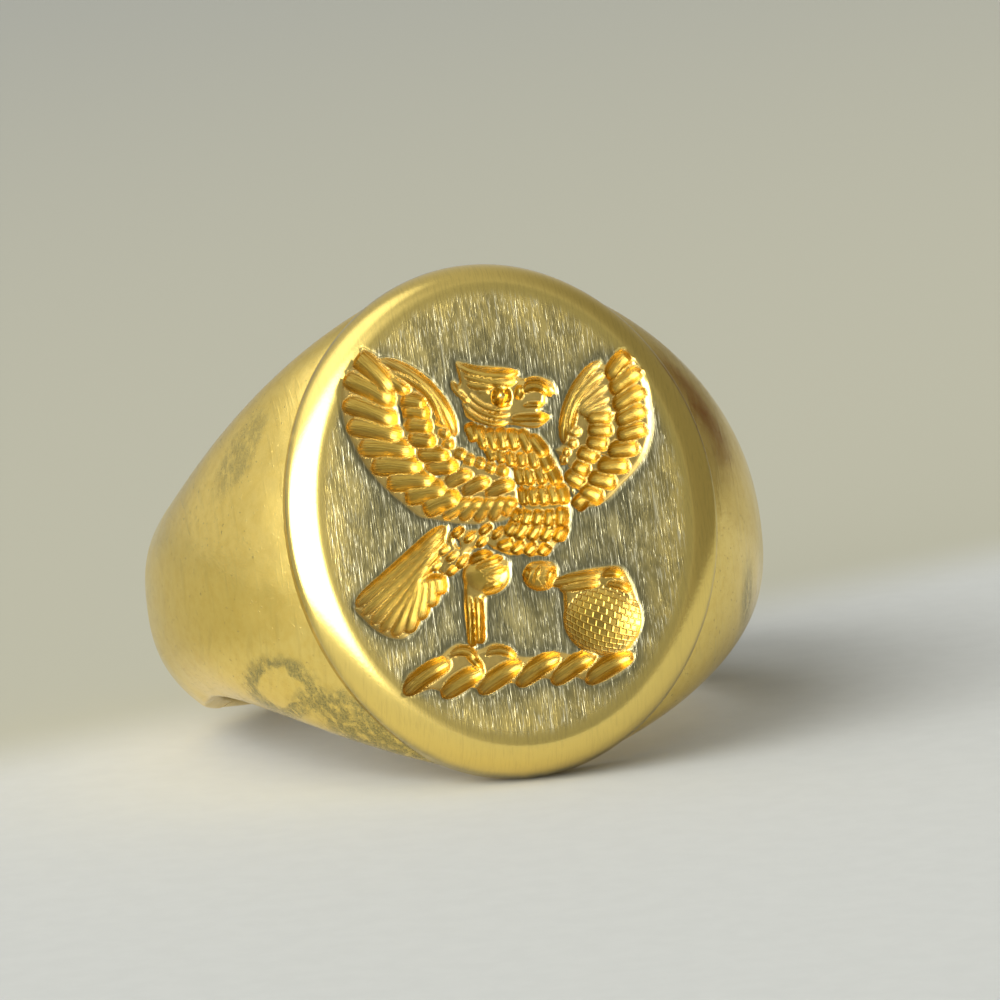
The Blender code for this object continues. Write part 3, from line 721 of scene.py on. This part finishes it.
def hairline_layer(tree, place, turn, low, high, offset):
    """Sparse thin lines in one direction: noise stretched along them, where it peaks."""
    shifted = put(tree, "ShaderNodeVectorMath", {0: place, 1: (offset, 0.0, offset)}).outputs[0]
    stretched = turned(tree, shifted, turn, (8.0, 0.6, 0.55))
    return ramp(tree, noise(tree, stretched, 1.0, 1.0, 0.4), low, high)


def spot(tree, place, middle, size, turn=0.0):
    """1 at the middle of an oval spot in ring millimetres, falling to 0 at its edge."""
    moved = put(tree, "ShaderNodeMapping", {"Vector": place, "Location": middle, "Scale": size,
                                            "Rotation": (0.0, turn, 0.0)},
                vector_type="TEXTURE").outputs[0]
    reach = put(tree, "ShaderNodeVectorMath", {0: moved}, operation="LENGTH").outputs["Value"]
    return calc(tree, "SUBTRACT", 1.0, reach, clamp=True)


def new_gold(name):
    """A fresh metal material, its tree and its shader."""
    material = bpy.data.materials.new(name)
    material.use_nodes = True
    shader = material.node_tree.nodes["Principled BSDF"]
    shader.inputs["Metallic"].default_value = 1.0
    return material, material.node_tree, shader


def bump(tree, height, depth, strength, normal=None):
    """Relief of a height map, depth metres deep, laid over an earlier normal."""
    sockets = {"Height": height, "Distance": depth, "Strength": strength}
    if normal is not None:
        sockets["Normal"] = normal
    return put(tree, "ShaderNodeBump", sockets).outputs[0]


def shoulder_smears(tree, place):
    """Grey-green smears, 0 to 1: a ring round a burnished spot low on the left shoulder, a tail
    below it, and thinner ones along the shoulders' edges by the table. The outlines of most wander
    by up to a third of a millimetre, and streaks and grain break them all up."""
    wobble = put(tree, "ShaderNodeTexNoise", {"Vector": place, "Scale": 1.9, "Detail": 4.0})
    shift = put(tree, "ShaderNodeVectorMath", {0: wobble.outputs["Color"], 1: (0.5, 0.5, 0.5)},
                operation="SUBTRACT").outputs[0]
    warped = put(tree, "ShaderNodeVectorMath", {0: shift, 1: (0.7, 0.7, 0.7), 2: place},
                 operation="MULTIPLY_ADD").outputs[0]
    ring_mark = spot(tree, warped, (-7.4, -7.1, -4.4), (2.2, 2.8, 1.35), 0.2)
    unburnished = calc(tree, "SUBTRACT", 1.0, ramp(tree, ring_mark, 0.50, 0.60))
    halo = calc(tree, "MULTIPLY", ramp(tree, ring_mark, 0.14, 0.42), unburnished)
    tail = ramp(tree, spot(tree, warped, (-6.1, -8.1, -5.2), (1.7, 2.0, 0.50), 0.3), 0.05, 0.5)
    low_edge = ramp(tree, spot(tree, place, (-4.8, -8.8, -6.6), (3.2, 2.2, 1.1), 0.68), 0.05, 0.45)
    high_edge = ramp(tree, spot(tree, warped, (-7.8, -7.2, 3.4), (2.2, 2.6, 0.62), -0.95), 0.05, 0.5)
    right_edge = ramp(tree, spot(tree, place, (8.4, -6.7, -2.9), (0.8, 1.4, 1.9)), 0.05, 0.9)
    smear = halo
    for part in (tail, low_edge, calc(tree, "MULTIPLY", high_edge, 0.7), right_edge):
        smear = calc(tree, "MAXIMUM", smear, part)
    streaky = noise(tree, turned(tree, place, 0.5, (3.2, 3.2, 1.1)), 1.3, 5.0, 0.7)
    smear = calc(tree, "MULTIPLY", smear, ramp(tree, streaky, 0.32, 0.56))
    grain = ramp(tree, noise(tree, place, 16.0, 3.0, 0.65), 0.36, 0.60)
    return calc(tree, "MULTIPLY", smear, calc(tree, "ADD", 0.55, calc(tree, "MULTIPLY", grain, 0.45)))


def polished_finish(finish, ring):
    """Worn polish: soft dents and blotches, fine speckle, pits, faint hairlines and smears."""
    material, tree, shader = new_gold("worn_polished_gold")
    place = ring_millimetres(tree, ring)
    dirt = shoulder_smears(tree, place)
    cloud = noise(tree, place, 0.8, 3.0, 0.55)
    mottle = noise(tree, place, 3.2, 4.0, 0.6)
    pits = ramp(tree, noise(tree, place, 7.5, 2.0, 0.5), 0.67, 0.74)
    lines = calc(tree, "MAXIMUM", hairline_layer(tree, place, 0.25, 0.60, 0.74, 3.0),
                 hairline_layer(tree, place, -0.9, 0.62, 0.76, 11.0))
    blotch = [c * s for c, s in zip(finish.polish_colour, (0.93, 0.90, 0.80))]
    gold = blend(tree, ramp(tree, mottle, 0.35, 0.75), (*finish.polish_colour, 1), (*blotch, 1))
    gold = blend(tree, calc(tree, "MULTIPLY", dirt, 0.82), gold, (*finish.smear_and_shade_colour, 1))
    marks = calc(tree, "MAXIMUM", calc(tree, "MULTIPLY", pits, 0.60), calc(tree, "MULTIPLY", lines, 0.08))
    gold = blend(tree, marks, gold, (*finish.smear_and_shade_colour, 1))
    tree.links.new(gold, shader.inputs["Base Color"])
    polish = finish.polish_roughness
    rough = calc(tree, "ADD", ramp(tree, cloud, 0.3, 0.7, polish - 0.04, polish + 0.05),
                 calc(tree, "MULTIPLY", dirt, 0.14))
    tree.links.new(rough, shader.inputs["Roughness"])
    skin = bump(tree, noise(tree, place, 0.55, 2.0, 0.5), 0.00006, 0.6)
    skin = bump(tree, noise(tree, place, 16.0, 3.0, 0.65), 0.000006, 0.6, skin)
    skin = bump(tree, calc(tree, "ADD", lines, calc(tree, "MULTIPLY", pits, 1.5)), 0.000005, 0.5, skin)
    tree.links.new(skin, shader.inputs["Normal"])
    return material


def rubbed_lines(tree, place):
    """Light and dark hairlines in seven directions, most of them nearly upright: in each, noise
    stretched along the direction, light where it peaks and dark where it dips. The light ones are
    painted glints on the flat."""
    light, dark = None, None
    for order, (turn, length) in enumerate(((0.10, 0.9), (-0.34, 1.1), (0.60, 1.3), (-0.85, 1.5),
                                            (1.15, 1.8), (-1.40, 2.0), (0.30, 0.35))):
        offset = (3.7 * order, 0.0, 1.9 * order)
        shifted = put(tree, "ShaderNodeVectorMath", {0: place, 1: offset}).outputs[0]
        lines = noise(tree, turned(tree, shifted, turn, (15.0, 0.4, length)), 1.0, 2.0, 0.5)
        peaks = ramp(tree, lines, 0.62, 0.76)
        dips = ramp(tree, lines, 0.40, 0.28)
        light = peaks if light is None else calc(tree, "MAXIMUM", light, peaks)
        dark = dips if dark is None else calc(tree, "MAXIMUM", dark, dips)
    return light, dark


def graver_streaks(tree, place, hairlines):
    """Fine lines that run along each cut: noise that changes quickly across it and slowly along."""
    spread = put(tree, "ShaderNodeVectorMath", {0: place, 1: (0.7, 0.0, 0.7)},
                 operation="MULTIPLY").outputs[0]
    across = put(tree, "ShaderNodeCombineXYZ", {1: calc(tree, "MULTIPLY", hairlines, 2.6)}).outputs[0]
    along = put(tree, "ShaderNodeVectorMath", {0: spread, 1: across}).outputs[0]
    return noise(tree, along, 1.0, 3.0, 0.6)


def woven(tree):
    """Basket weave: rows of short raised strands, each row half a strand along from the last."""
    rows = calc(tree, "MULTIPLY", attribute(tree, "weave_rows"), 5.2)
    offset = calc(tree, "MULTIPLY", calc(tree, "FLOOR", rows), 0.5)
    posts = calc(tree, "ADD", calc(tree, "MULTIPLY", attribute(tree, "weave_posts"), 4.6), offset)
    across, along = (calc(tree, "ABSOLUTE", calc(tree, "SINE", calc(tree, "MULTIPLY", part, math.pi)))
                     for part in (rows, posts))
    return calc(tree, "MULTIPLY", ramp(tree, across, 0.0, 0.6), ramp(tree, along, 0.0, 0.6))


def scratched_flat(tree, finish, broad, light, dark, near_crest):
    """The flat's colour: broad light and dark marks, dark hairlines, the polish showing through
    near the rim, a painted shadow round the crest, and painted glints of bright hairlines over
    everything."""
    gold = blend(tree, ramp(tree, broad, 0.34, 0.66), (*finish.flat_dark, 1), (*finish.flat_colour, 1))
    gold = blend(tree, calc(tree, "MULTIPLY", dark, 0.85), gold, (*finish.dark_line_and_shadow_colour, 1))
    worn = calc(tree, "MULTIPLY", attribute(tree, "edge"), ramp(tree, broad, 0.35, 0.65, 0.35, 0.8))
    gold = blend(tree, worn, gold, (*finish.polish_colour, 1))
    # Painted shadow: the flat darkened next to the crest's outlines.
    shade = calc(tree, "MULTIPLY", ramp(tree, near_crest, 0.05, 0.90),
                 ramp(tree, broad, 0.3, 0.6, 0.45, 0.85))
    gold = blend(tree, shade, gold, (*finish.dark_line_and_shadow_colour, 1))
    # Painted glints: the bright hairlines blended towards a near-white gold.
    return blend(tree, calc(tree, "MULTIPLY", light, 0.75), gold, (*finish.scratch_glint_colour, 1))


def table_finish(finish, ring):
    """The flat is pale, scratched and a little dull with painted glints, the rim has the shank's
    worn polish with painted shade at its foot, and the cuts are gold warmed by painted bounced
    light and painted darker towards the bottom, with graver hairlines along them."""
    material, tree, shader = new_gold("engraved_gold")
    place = ring_millimetres(tree, ring)
    cut, field, bowl = (attribute(tree, name) for name in ("cut", "field", "bowl"))
    in_cut = ramp(tree, cut, 0.03, 0.16)
    on_flat = calc(tree, "MULTIPLY", field, calc(tree, "SUBTRACT", 1.0, in_cut))
    broad = noise(tree, turned(tree, place, 0.05, (1.6, 1.0, 0.8)), 1.0, 4.0, 0.65, distortion=0.5)
    light, dark = rubbed_lines(tree, place)
    streaks = graver_streaks(tree, place, attribute(tree, "hairlines"))

    flat_gold = scratched_flat(tree, finish, broad, light, dark, attribute(tree, "near_crest"))
    rim_gold = blend(tree, calc(tree, "MULTIPLY", dark, 0.12), (*finish.polish_colour, 1),
                     (*finish.smear_and_shade_colour, 1))
    # Painted shade at the rim's foot, on the table's side and at its back, towards the smear colour.
    rim_foot_shade = calc(tree, "MULTIPLY", attribute(tree, "rim_foot_shade"), ramp(tree, broad, 0.3, 0.6, 0.2, 0.6))
    rim_gold = blend(tree, rim_foot_shade, rim_gold, (*finish.smear_and_shade_colour, 1))
    # Painted light in the cuts: a warmer gold for light bounced inside them, and painted shade that
    # darkens them towards the bottom.
    cut_gold = blend(tree, ramp(tree, cut, 0.1, 0.9), (*finish.cut_bounce_colour, 1), (*finish.cut_deep_shade, 1))
    cut_gold = blend(tree, calc(tree, "MULTIPLY", ramp(tree, streaks, 0.55, 0.35), 0.45), cut_gold,
                     (*finish.cut_shadow, 1))
    gold = blend(tree, in_cut, blend(tree, field, rim_gold, flat_gold), cut_gold)
    tree.links.new(gold, shader.inputs["Base Color"])

    dull = calc(tree, "ADD", calc(tree, "MULTIPLY", on_flat, 0.10), finish.polish_roughness)
    rough = calc(tree, "ADD", dull, calc(tree, "MULTIPLY", in_cut, 0.04))
    tree.links.new(rough, shader.inputs["Roughness"])

    graver = calc(tree, "MULTIPLY", calc(tree, "MULTIPLY", streaks, in_cut),
                  calc(tree, "SUBTRACT", 1.0, bowl))
    skin = bump(tree, graver, 0.00003, 0.9)
    skin = bump(tree, calc(tree, "MULTIPLY", woven(tree), bowl), 0.00002, 0.9, skin)
    rubbed = calc(tree, "SUBTRACT", dark, light)
    skin = bump(tree, calc(tree, "MULTIPLY", rubbed, on_flat), 0.000003, 0.8, skin)
    skin = bump(tree, noise(tree, place, 9.0, 3.0, 0.6), 0.000006, 0.5, skin)
    tree.links.new(skin, shader.inputs["Normal"])
    return material


def solder_finish(finish, ring):
    """Hard solder filed flush: a shade paler than the gold, and faintly grainy."""
    material, tree, shader = new_gold("filed_solder")
    place = ring_millimetres(tree, ring)
    grain = noise(tree, place, 9.0, 3.0, 0.6)
    gold = blend(tree, grain, (*finish.polish_colour, 1), (*finish.solder_colour, 1))
    tree.links.new(gold, shader.inputs["Base Color"])
    tree.links.new(ramp(tree, grain, 0.3, 0.7, 0.24, 0.34), shader.inputs["Roughness"])
    tree.links.new(bump(tree, grain, 0.000004, 0.5), shader.inputs["Normal"])
    return material


def finish_named(name, maker):
    """The named material, made the first time it is asked for."""
    scene = bpy.context.scene
    return bpy.data.materials.get(name) or maker(scene.ring_finish, scene.ring_shape)


# ---------------------------------------------------------------------------------------------
# Sizes, colours and light that a user would change

def length(name, description, default):
    """A setting that is a length, in metres."""
    return bpy.props.FloatProperty(name=name, description=description, default=default,
                                   precision=5, unit="LENGTH", subtype="DISTANCE")


def colour(name, description, default):
    """A setting that is a colour: red, green and blue."""
    return bpy.props.FloatVectorProperty(name=name, description=description, default=default,
                                         size=3, min=0.0, max=1.0, subtype="COLOR")


class RingShape(bpy.types.PropertyGroup):
    """Sizes of the ring. Its widths, walls and distances are the CAD model's, while the collar,
    the rim, the dome, the edge rounding and the fullness are this finer model's own."""
    table_width: length("Table width", "Across the table", 0.0142)
    table_height: length("Table height", "Along the finger axis", 0.0170)
    face_distance: length("Face distance", "From the finger axis to the flat", 0.01082)
    table_back_distance: length("Table back", "From the finger axis to the back of the table", 0.00902)
    seat_distance: length("Seat distance", "From the finger axis to the seat of the table", 0.00881)
    seat_inset: length("Seat inset", "Overhang of the table over its seat", 0.00012)
    collar: length("Collar", "Rise of the shoulders round the table's side", 0.00090)
    rim_width: length("Rim width", "Width of the worn rim", 0.0010)
    rim_drop: length("Rim drop", "Depth of the worn rim", 0.00148)
    dome: length("Dome", "Fall of the flat to its edge", 0.00009)
    bore_radius: length("Bore radius", "Radius of the finger hole", 0.00825)
    bore_inset: length("Bore edge inset", "How far the edges slope in to the bore", 0.00025)
    edge_round: length("Edge rounding", "Reach of the rounding along the band's edges", 0.00030)
    side_thickness: length("Side thickness", "Wall a quarter turn from the face", 0.0021)
    side_width: length("Side width", "Band width a quarter turn from the face", 0.0071)
    side_crown: length("Side crown", "Fall from the middle of the side to its edge", 0.0015)
    back_thickness: length("Back thickness", "Wall at the back", 0.0016)
    back_width: length("Back width", "Band width at the back", 0.0050)
    back_crown: length("Back crown", "Fall from the middle of the back to its edge", 0.0009)
    solder_thickness: length("Solder thickness", "Thickness of a solder seam", 0.00021)
    fullness: bpy.props.FloatProperty(name="Fullness", description="How full the shoulders are",
                                      default=0.3)
    taper: bpy.props.FloatProperty(name="Taper", description="How slowly the shoulders narrow",
                                   default=1.2)
    joint_angle: bpy.props.FloatProperty(name="Shank joint", description="From the face to the joint",
                                         default=math.radians(118), subtype="ANGLE")
    grid_columns: bpy.props.IntProperty(name="Columns", description="Steps across the flat", default=248)
    grid_rows: bpy.props.IntProperty(name="Rows", description="Steps along the flat", default=300)
    rim_rows: bpy.props.IntProperty(name="Rim rows", description="Steps round the rim", default=14)


class CrestCut(bpy.types.PropertyGroup):
    """The engraving."""
    depth: length("Depth", "Depth of the deepest cuts", 0.00046)


class GoldFinish(bpy.types.PropertyGroup):
    """Colours and polish of the gold."""
    polish_colour: colour("Polished gold", "Shank and rim", (0.93, 0.70, 0.20))
    flat_colour: colour("Flat", "Light marks of the scratched flat", (0.76, 0.63, 0.26))
    flat_dark: colour("Flat, dark", "Dark marks of the scratched flat", (0.30, 0.26, 0.115))
    # The flat's dark hairlines, and the painted shadow round the crest.
    dark_line_and_shadow_colour: colour("Flat by the crest", "The dull border round the cuts", (0.20, 0.19, 0.11))
    # Painted glints of the flat's bright hairlines.
    scratch_glint_colour: colour("Scratches", "Bright hairlines on the flat", (1.0, 0.92, 0.60))
    # Painted bounced light in the shallow cuts.
    cut_bounce_colour: colour("Cuts", "Shallow cuts", (0.88, 0.62, 0.19))
    # Painted shade at the bottom of the cuts.
    cut_deep_shade: colour("Deep cuts", "Bottom of the cuts", (0.78, 0.52, 0.10))
    cut_shadow: colour("Cuts, dark", "Dark hairlines in the cuts", (0.36, 0.22, 0.05))
    solder_colour: colour("Solder", "Hard gold solder", (0.84, 0.66, 0.28))
    # Also the painted shade at the rim's foot.
    smear_and_shade_colour: colour("Smears", "Tarnish in the worn spots", (0.20, 0.19, 0.09))
    polish_roughness: bpy.props.FloatProperty(name="Roughness", description="Of the worn polish",
                                              default=0.20, min=0.0, max=1.0, subtype="FACTOR")


class StudioStage(bpy.types.PropertyGroup):
    """Floor, light and camera."""
    floor_colour: colour("Floor", "Pale floor", (0.56, 0.57, 0.55))
    # Painted shade: the floor behind the ring.
    backdrop_shade_colour: colour("Backdrop", "Floor behind the ring", (0.45, 0.44, 0.35))
    # Painted shade: the floor towards the horizon.
    far_shade_colour: colour("Far floor", "Floor towards the horizon", (0.33, 0.335, 0.31))
    window_strength: bpy.props.FloatProperty(
        name="Window", description="Strength of the window at the left", default=6.5, min=0.0)
    camera_distance: length("Camera distance", "From the face to the camera", 0.260)
    view_side: bpy.props.FloatProperty(
        name="Azimuth", description="Camera's turn to the left of the face",
        default=math.radians(11.025), subtype="ANGLE")
    view_drop: bpy.props.FloatProperty(
        name="Below the face", description="Camera's drop from the face axis",
        default=math.radians(9.007), subtype="ANGLE")
    view_roll: bpy.props.FloatProperty(
        name="Roll", description="Camera's roll", default=math.radians(7.778), subtype="ANGLE")
    aim_left: length("Aim to the left", "From the middle of the face to the middle of the view", 0.000198)
    aim_up: length("Aim upwards", "From the middle of the face to the middle of the view", 0.000386)
    view_width: length("Field width", "Width of the view at the face", 0.0324)


# ---------------------------------------------------------------------------------------------
# Operators

class SIGNET_OT_table(bpy.types.Operator):
    """Make the engraved table"""
    bl_idname = "signet.table"
    bl_label = "Engraved Table"

    def execute(self, context):
        ring = context.scene.ring_shape
        points, faces, values = table_mesh(ring, context.scene.crest_cut)
        material = finish_named("engraved_gold", table_finish)
        piece = add_piece("engraved_table", to_world(points, ring), faces, material,
                          ["signet_table"], sharp=80.0)
        for name, numbers in values.items():
            add_attribute(piece, name, numbers)
        return {"FINISHED"}


class SIGNET_OT_shoulders(bpy.types.Operator):
    """Make the yoke with its two shoulders"""
    bl_idname = "signet.shoulders"
    bl_label = "Forged Shoulders"

    def execute(self, context):
        ring = context.scene.ring_shape
        v = across_band()
        flare = shoulder_rows(v, ring, count=110)
        side = shank_rows(v, QUARTER_TURN, ring.joint_angle - half_seam(ring), ring, count=36)
        half = [np.vstack([near, far[1:]]) for near, far in zip(flare, side)]
        loops = band_loops(*half, ring, samples=280)
        mirrored = (loops * OTHER_SIDE)[:0:-1]
        points, faces = band_mesh(np.concatenate([mirrored, loops]))
        add_piece("forged_shoulders", to_world(points, ring), faces,
                  finish_named("worn_polished_gold", polished_finish), ["shoulders"])
        return {"FINISHED"}


class SIGNET_OT_back_shank(bpy.types.Operator):
    """Make the sizing piece at the back of the shank"""
    bl_idname = "signet.back_shank"
    bl_label = "Sizing Piece"

    def execute(self, context):
        ring = context.scene.ring_shape
        start = ring.joint_angle + half_seam(ring)
        loops = band_loops(*shank_rows(across_band(), start, math.pi, ring, count=80), ring, samples=200)
        mirrored = (loops * OTHER_SIDE)[-2::-1]
        points, faces = band_mesh(np.concatenate([loops, mirrored]))
        add_piece("sizing_piece", to_world(points, ring), faces,
                  finish_named("worn_polished_gold", polished_finish), ["back_shank"])
        return {"FINISHED"}


class SIGNET_OT_solder(bpy.types.Operator):
    """Make the three solder seams"""
    bl_idname = "signet.solder"
    bl_label = "Solder Seams"

    def execute(self, context):
        ring = context.scene.ring_shape
        material = finish_named("filed_solder", solder_finish)
        start, end = ring.joint_angle - half_seam(ring), ring.joint_angle + half_seam(ring)
        loops = band_loops(*shank_rows(across_band(), start, end, ring, count=4), ring, samples=200)
        seams = (("left_shank", band_mesh(loops * OTHER_SIDE)), ("right_shank", band_mesh(loops)),
                 ("table", table_seam(ring)))
        for name, (points, faces) in seams:
            add_piece(name + "_seam", to_world(points, ring), faces, material,
                      [name + "_solder"])
        return {"FINISHED"}


class SIGNET_OT_stage(bpy.types.Operator):
    """Make the floor, the light and the camera"""
    bl_idname = "signet.stage"
    bl_label = "Studio Stage"

    def execute(self, context):
        scene = context.scene
        stage = scene.studio_stage
        add_floor(stage)
        light_studio(scene, stage)
        place_camera(scene, scene.ring_shape, stage)
        scene.view_settings.view_transform = "Standard"
        return {"FINISHED"}


def add_floor(stage):
    """A round floor: a fan in the middle and three rings of quads that grow outwards."""
    spokes = 96
    reach = np.array([[0.05], [0.2], [0.8], [3.0]])
    turn = np.linspace(0, 2 * math.pi, spokes, endpoint=False)
    loops = np.stack([reach * np.cos(turn), reach * np.sin(turn),
                      np.zeros((len(reach), spokes))], axis=-1)
    points = np.vstack([loops.reshape(-1, 3), [[0.0, 0.0, 0.0]]])
    quads = grid_quads(len(reach), spokes, closed=True)[:, ::-1]
    first = np.arange(spokes)
    fan = np.stack([first, np.roll(first, -1), np.full(spokes, len(points) - 1)], axis=1)
    mesh = bpy.data.meshes.new("floor")
    mesh.from_pydata(points.tolist(), [], quads.tolist() + fan.tolist())
    mesh.materials.append(floor_finish(stage))
    floor = bpy.data.objects.new("floor", mesh)
    bpy.context.scene.collection.objects.link(floor)


def floor_finish(stage):
    """Matt paper with a fine fibre, pale in front of a soft slanting line behind the ring, with
    painted shade beyond it that grows darker towards the horizon."""
    material = bpy.data.materials.new("paper_floor")
    material.use_nodes = True
    tree = material.node_tree
    shader = tree.nodes["Principled BSDF"]
    place = put(tree, "ShaderNodeTexCoord", {}).outputs["Object"]
    parts = put(tree, "ShaderNodeSeparateXYZ", {0: place}).outputs
    behind = calc(tree, "SUBTRACT", parts[1], calc(tree, "MULTIPLY", parts[0], 0.46))
    fibre = noise(tree, place, 900.0, 4.0, 0.6)
    fibre_colour = [c * 0.97 for c in stage.floor_colour]
    pale = blend(tree, ramp(tree, fibre, 0.3, 0.7), (*stage.floor_colour, 1), (*fibre_colour, 1))
    # Painted shade behind the slanting line, darker towards the horizon.
    distant_shade = blend(tree, ramp(tree, behind, 0.02, 0.35), (*stage.backdrop_shade_colour, 1),
                    (*stage.far_shade_colour, 1))
    tree.links.new(blend(tree, ramp(tree, behind, 0.006, 0.016), pale, distant_shade),
                   shader.inputs["Base Color"])
    shader.inputs["Roughness"].default_value = 0.85
    shader.inputs["Specular IOR Level"].default_value = 0.2
    return material


def light_studio(scene, stage):
    """Even grey room light, all in the world: a large soft window at the left with a halo and a
    second light high above it, paler light low at the left, darker parts at the right, in front
    and behind on the right, and there a thin dark red strip."""
    world = bpy.data.worlds.new("studio_light")
    scene.world = world
    world.use_nodes = True
    tree = world.node_tree
    heading = put(tree, "ShaderNodeTexCoord", {}).outputs["Generated"]

    def towards(direction):
        """The heading's part along a direction."""
        return put(tree, "ShaderNodeVectorMath", {0: heading, 1: direction},
                   operation="DOT_PRODUCT").outputs["Value"]

    def glow(direction, inner, outer):
        """1 within the inner angle of a direction, smoothly down to 0 at the outer angle."""
        return ramp(tree, towards(Vector(direction).normalized()), math.cos(math.radians(outer)),
                    math.cos(math.radians(inner)))

    window = (-0.74, -0.56, 0.37)
    strength = stage.window_strength
    strip = ramp(tree, calc(tree, "ABSOLUTE", towards((-0.67, 0.74, 0.0))), 0.11, 0.06)
    strip = calc(tree, "MULTIPLY", strip, glow((0.74, 0.67, 0.0), 13, 18))
    height = put(tree, "ShaderNodeSeparateXYZ", {0: heading}).outputs[2]
    sky = blend(tree, ramp(tree, height, -0.1, 0.9), (0.46, 0.46, 0.43, 1), (0.46, 0.46, 0.44, 1))
    for share, tint in (
            (glow((0.9, 0.1, 0.2), 20, 70), (0.24, 0.23, 0.19)),
            (glow((0.2, -0.9, 0.45), 8, 34), (0.30, 0.31, 0.30)),
            (glow((0.66, 0.75, -0.05), 8, 26), (0.28, 0.27, 0.22)),
            (strip, (0.07, 0.005, 0.003)),
            (glow((-1.0, 0.25, 0.1), 25, 60), (0.66, 0.66, 0.63)),
            (glow(window, 36, 60), (0.85, 0.85, 0.83)),
            (glow(window, 21, 36), (strength, strength, strength * 0.98)),
            (glow((-0.5, 0.2, 0.85), 8, 30), (1.6, 1.6, 1.55))):
        sky = blend(tree, share, sky, (*tint, 1))
    tree.links.new(sky, tree.nodes["Background"].inputs["Color"])


def place_camera(scene, ring, stage):
    """A long lens on the face: turned to the left of the face axis and dropped below it, then
    rolled, with the face a little off the middle of the view."""
    (sideways, face, finger), middle = ring_axes(ring.bore_radius + ring.back_thickness)
    side, drop = stage.view_side, stage.view_drop
    level = face * math.cos(side) - sideways * math.sin(side)
    towards = level * math.cos(drop) - finger * math.sin(drop)
    right = np.cross(finger, towards)
    right /= np.linalg.norm(right)
    up = np.cross(towards, right)
    level_part, upright_part = math.cos(stage.view_roll), math.sin(stage.view_roll)
    right, up = right * level_part - up * upright_part, up * level_part + right * upright_part
    aim = middle + face * ring.face_distance - right * stage.aim_left + up * stage.aim_up
    place = aim + towards * stage.camera_distance
    data = bpy.data.cameras.new("camera")
    data.lens = data.sensor_width * stage.camera_distance / stage.view_width
    data.clip_start = 0.01
    data.clip_end = 20.0
    camera = bpy.data.objects.new("camera", data)
    turned_axes = Matrix([right, up, towards]).transposed()
    camera.matrix_world = Matrix.Translation(Vector(place)) @ turned_axes.to_4x4()
    scene.collection.objects.link(camera)
    scene.camera = camera


# ---------------------------------------------------------------------------------------------
# Panel and registration

class SIGNET_PT_panel(bpy.types.Panel):
    """Pieces of the signet ring"""
    bl_idname = "SIGNET_PT_panel"
    bl_label = "Signet Ring"
    bl_space_type = "VIEW_3D"
    bl_region_type = "UI"
    bl_category = "Signet Ring"

    def draw(self, context):
        layout = self.layout
        for operator in OPERATORS:
            layout.operator(operator.bl_idname)
        for group in GROUPS:
            box = layout.box()
            settings = getattr(context.scene, group)
            for name in settings.bl_rna.properties.keys():
                if name not in ("rna_type", "name"):
                    box.prop(settings, name)


OPERATORS = (SIGNET_OT_table, SIGNET_OT_shoulders, SIGNET_OT_back_shank, SIGNET_OT_solder,
             SIGNET_OT_stage)
GROUPS = {"ring_shape": RingShape, "crest_cut": CrestCut, "ring_finish": GoldFinish,
          "studio_stage": StudioStage}


def register():
    for kind in (*GROUPS.values(), *OPERATORS, SIGNET_PT_panel):
        bpy.utils.register_class(kind)
    for name, kind in GROUPS.items():
        setattr(bpy.types.Scene, name, bpy.props.PointerProperty(type=kind))


def unregister():
    for name in GROUPS:
        delattr(bpy.types.Scene, name)
    for kind in reversed((*GROUPS.values(), *OPERATORS, SIGNET_PT_panel)):
        bpy.utils.unregister_class(kind)


def main():
    register()
    bpy.ops.signet.table()
    bpy.ops.signet.shoulders()
    bpy.ops.signet.back_shank()
    bpy.ops.signet.solder()
    bpy.ops.signet.stage()


if __name__ == "__main__":
    main()
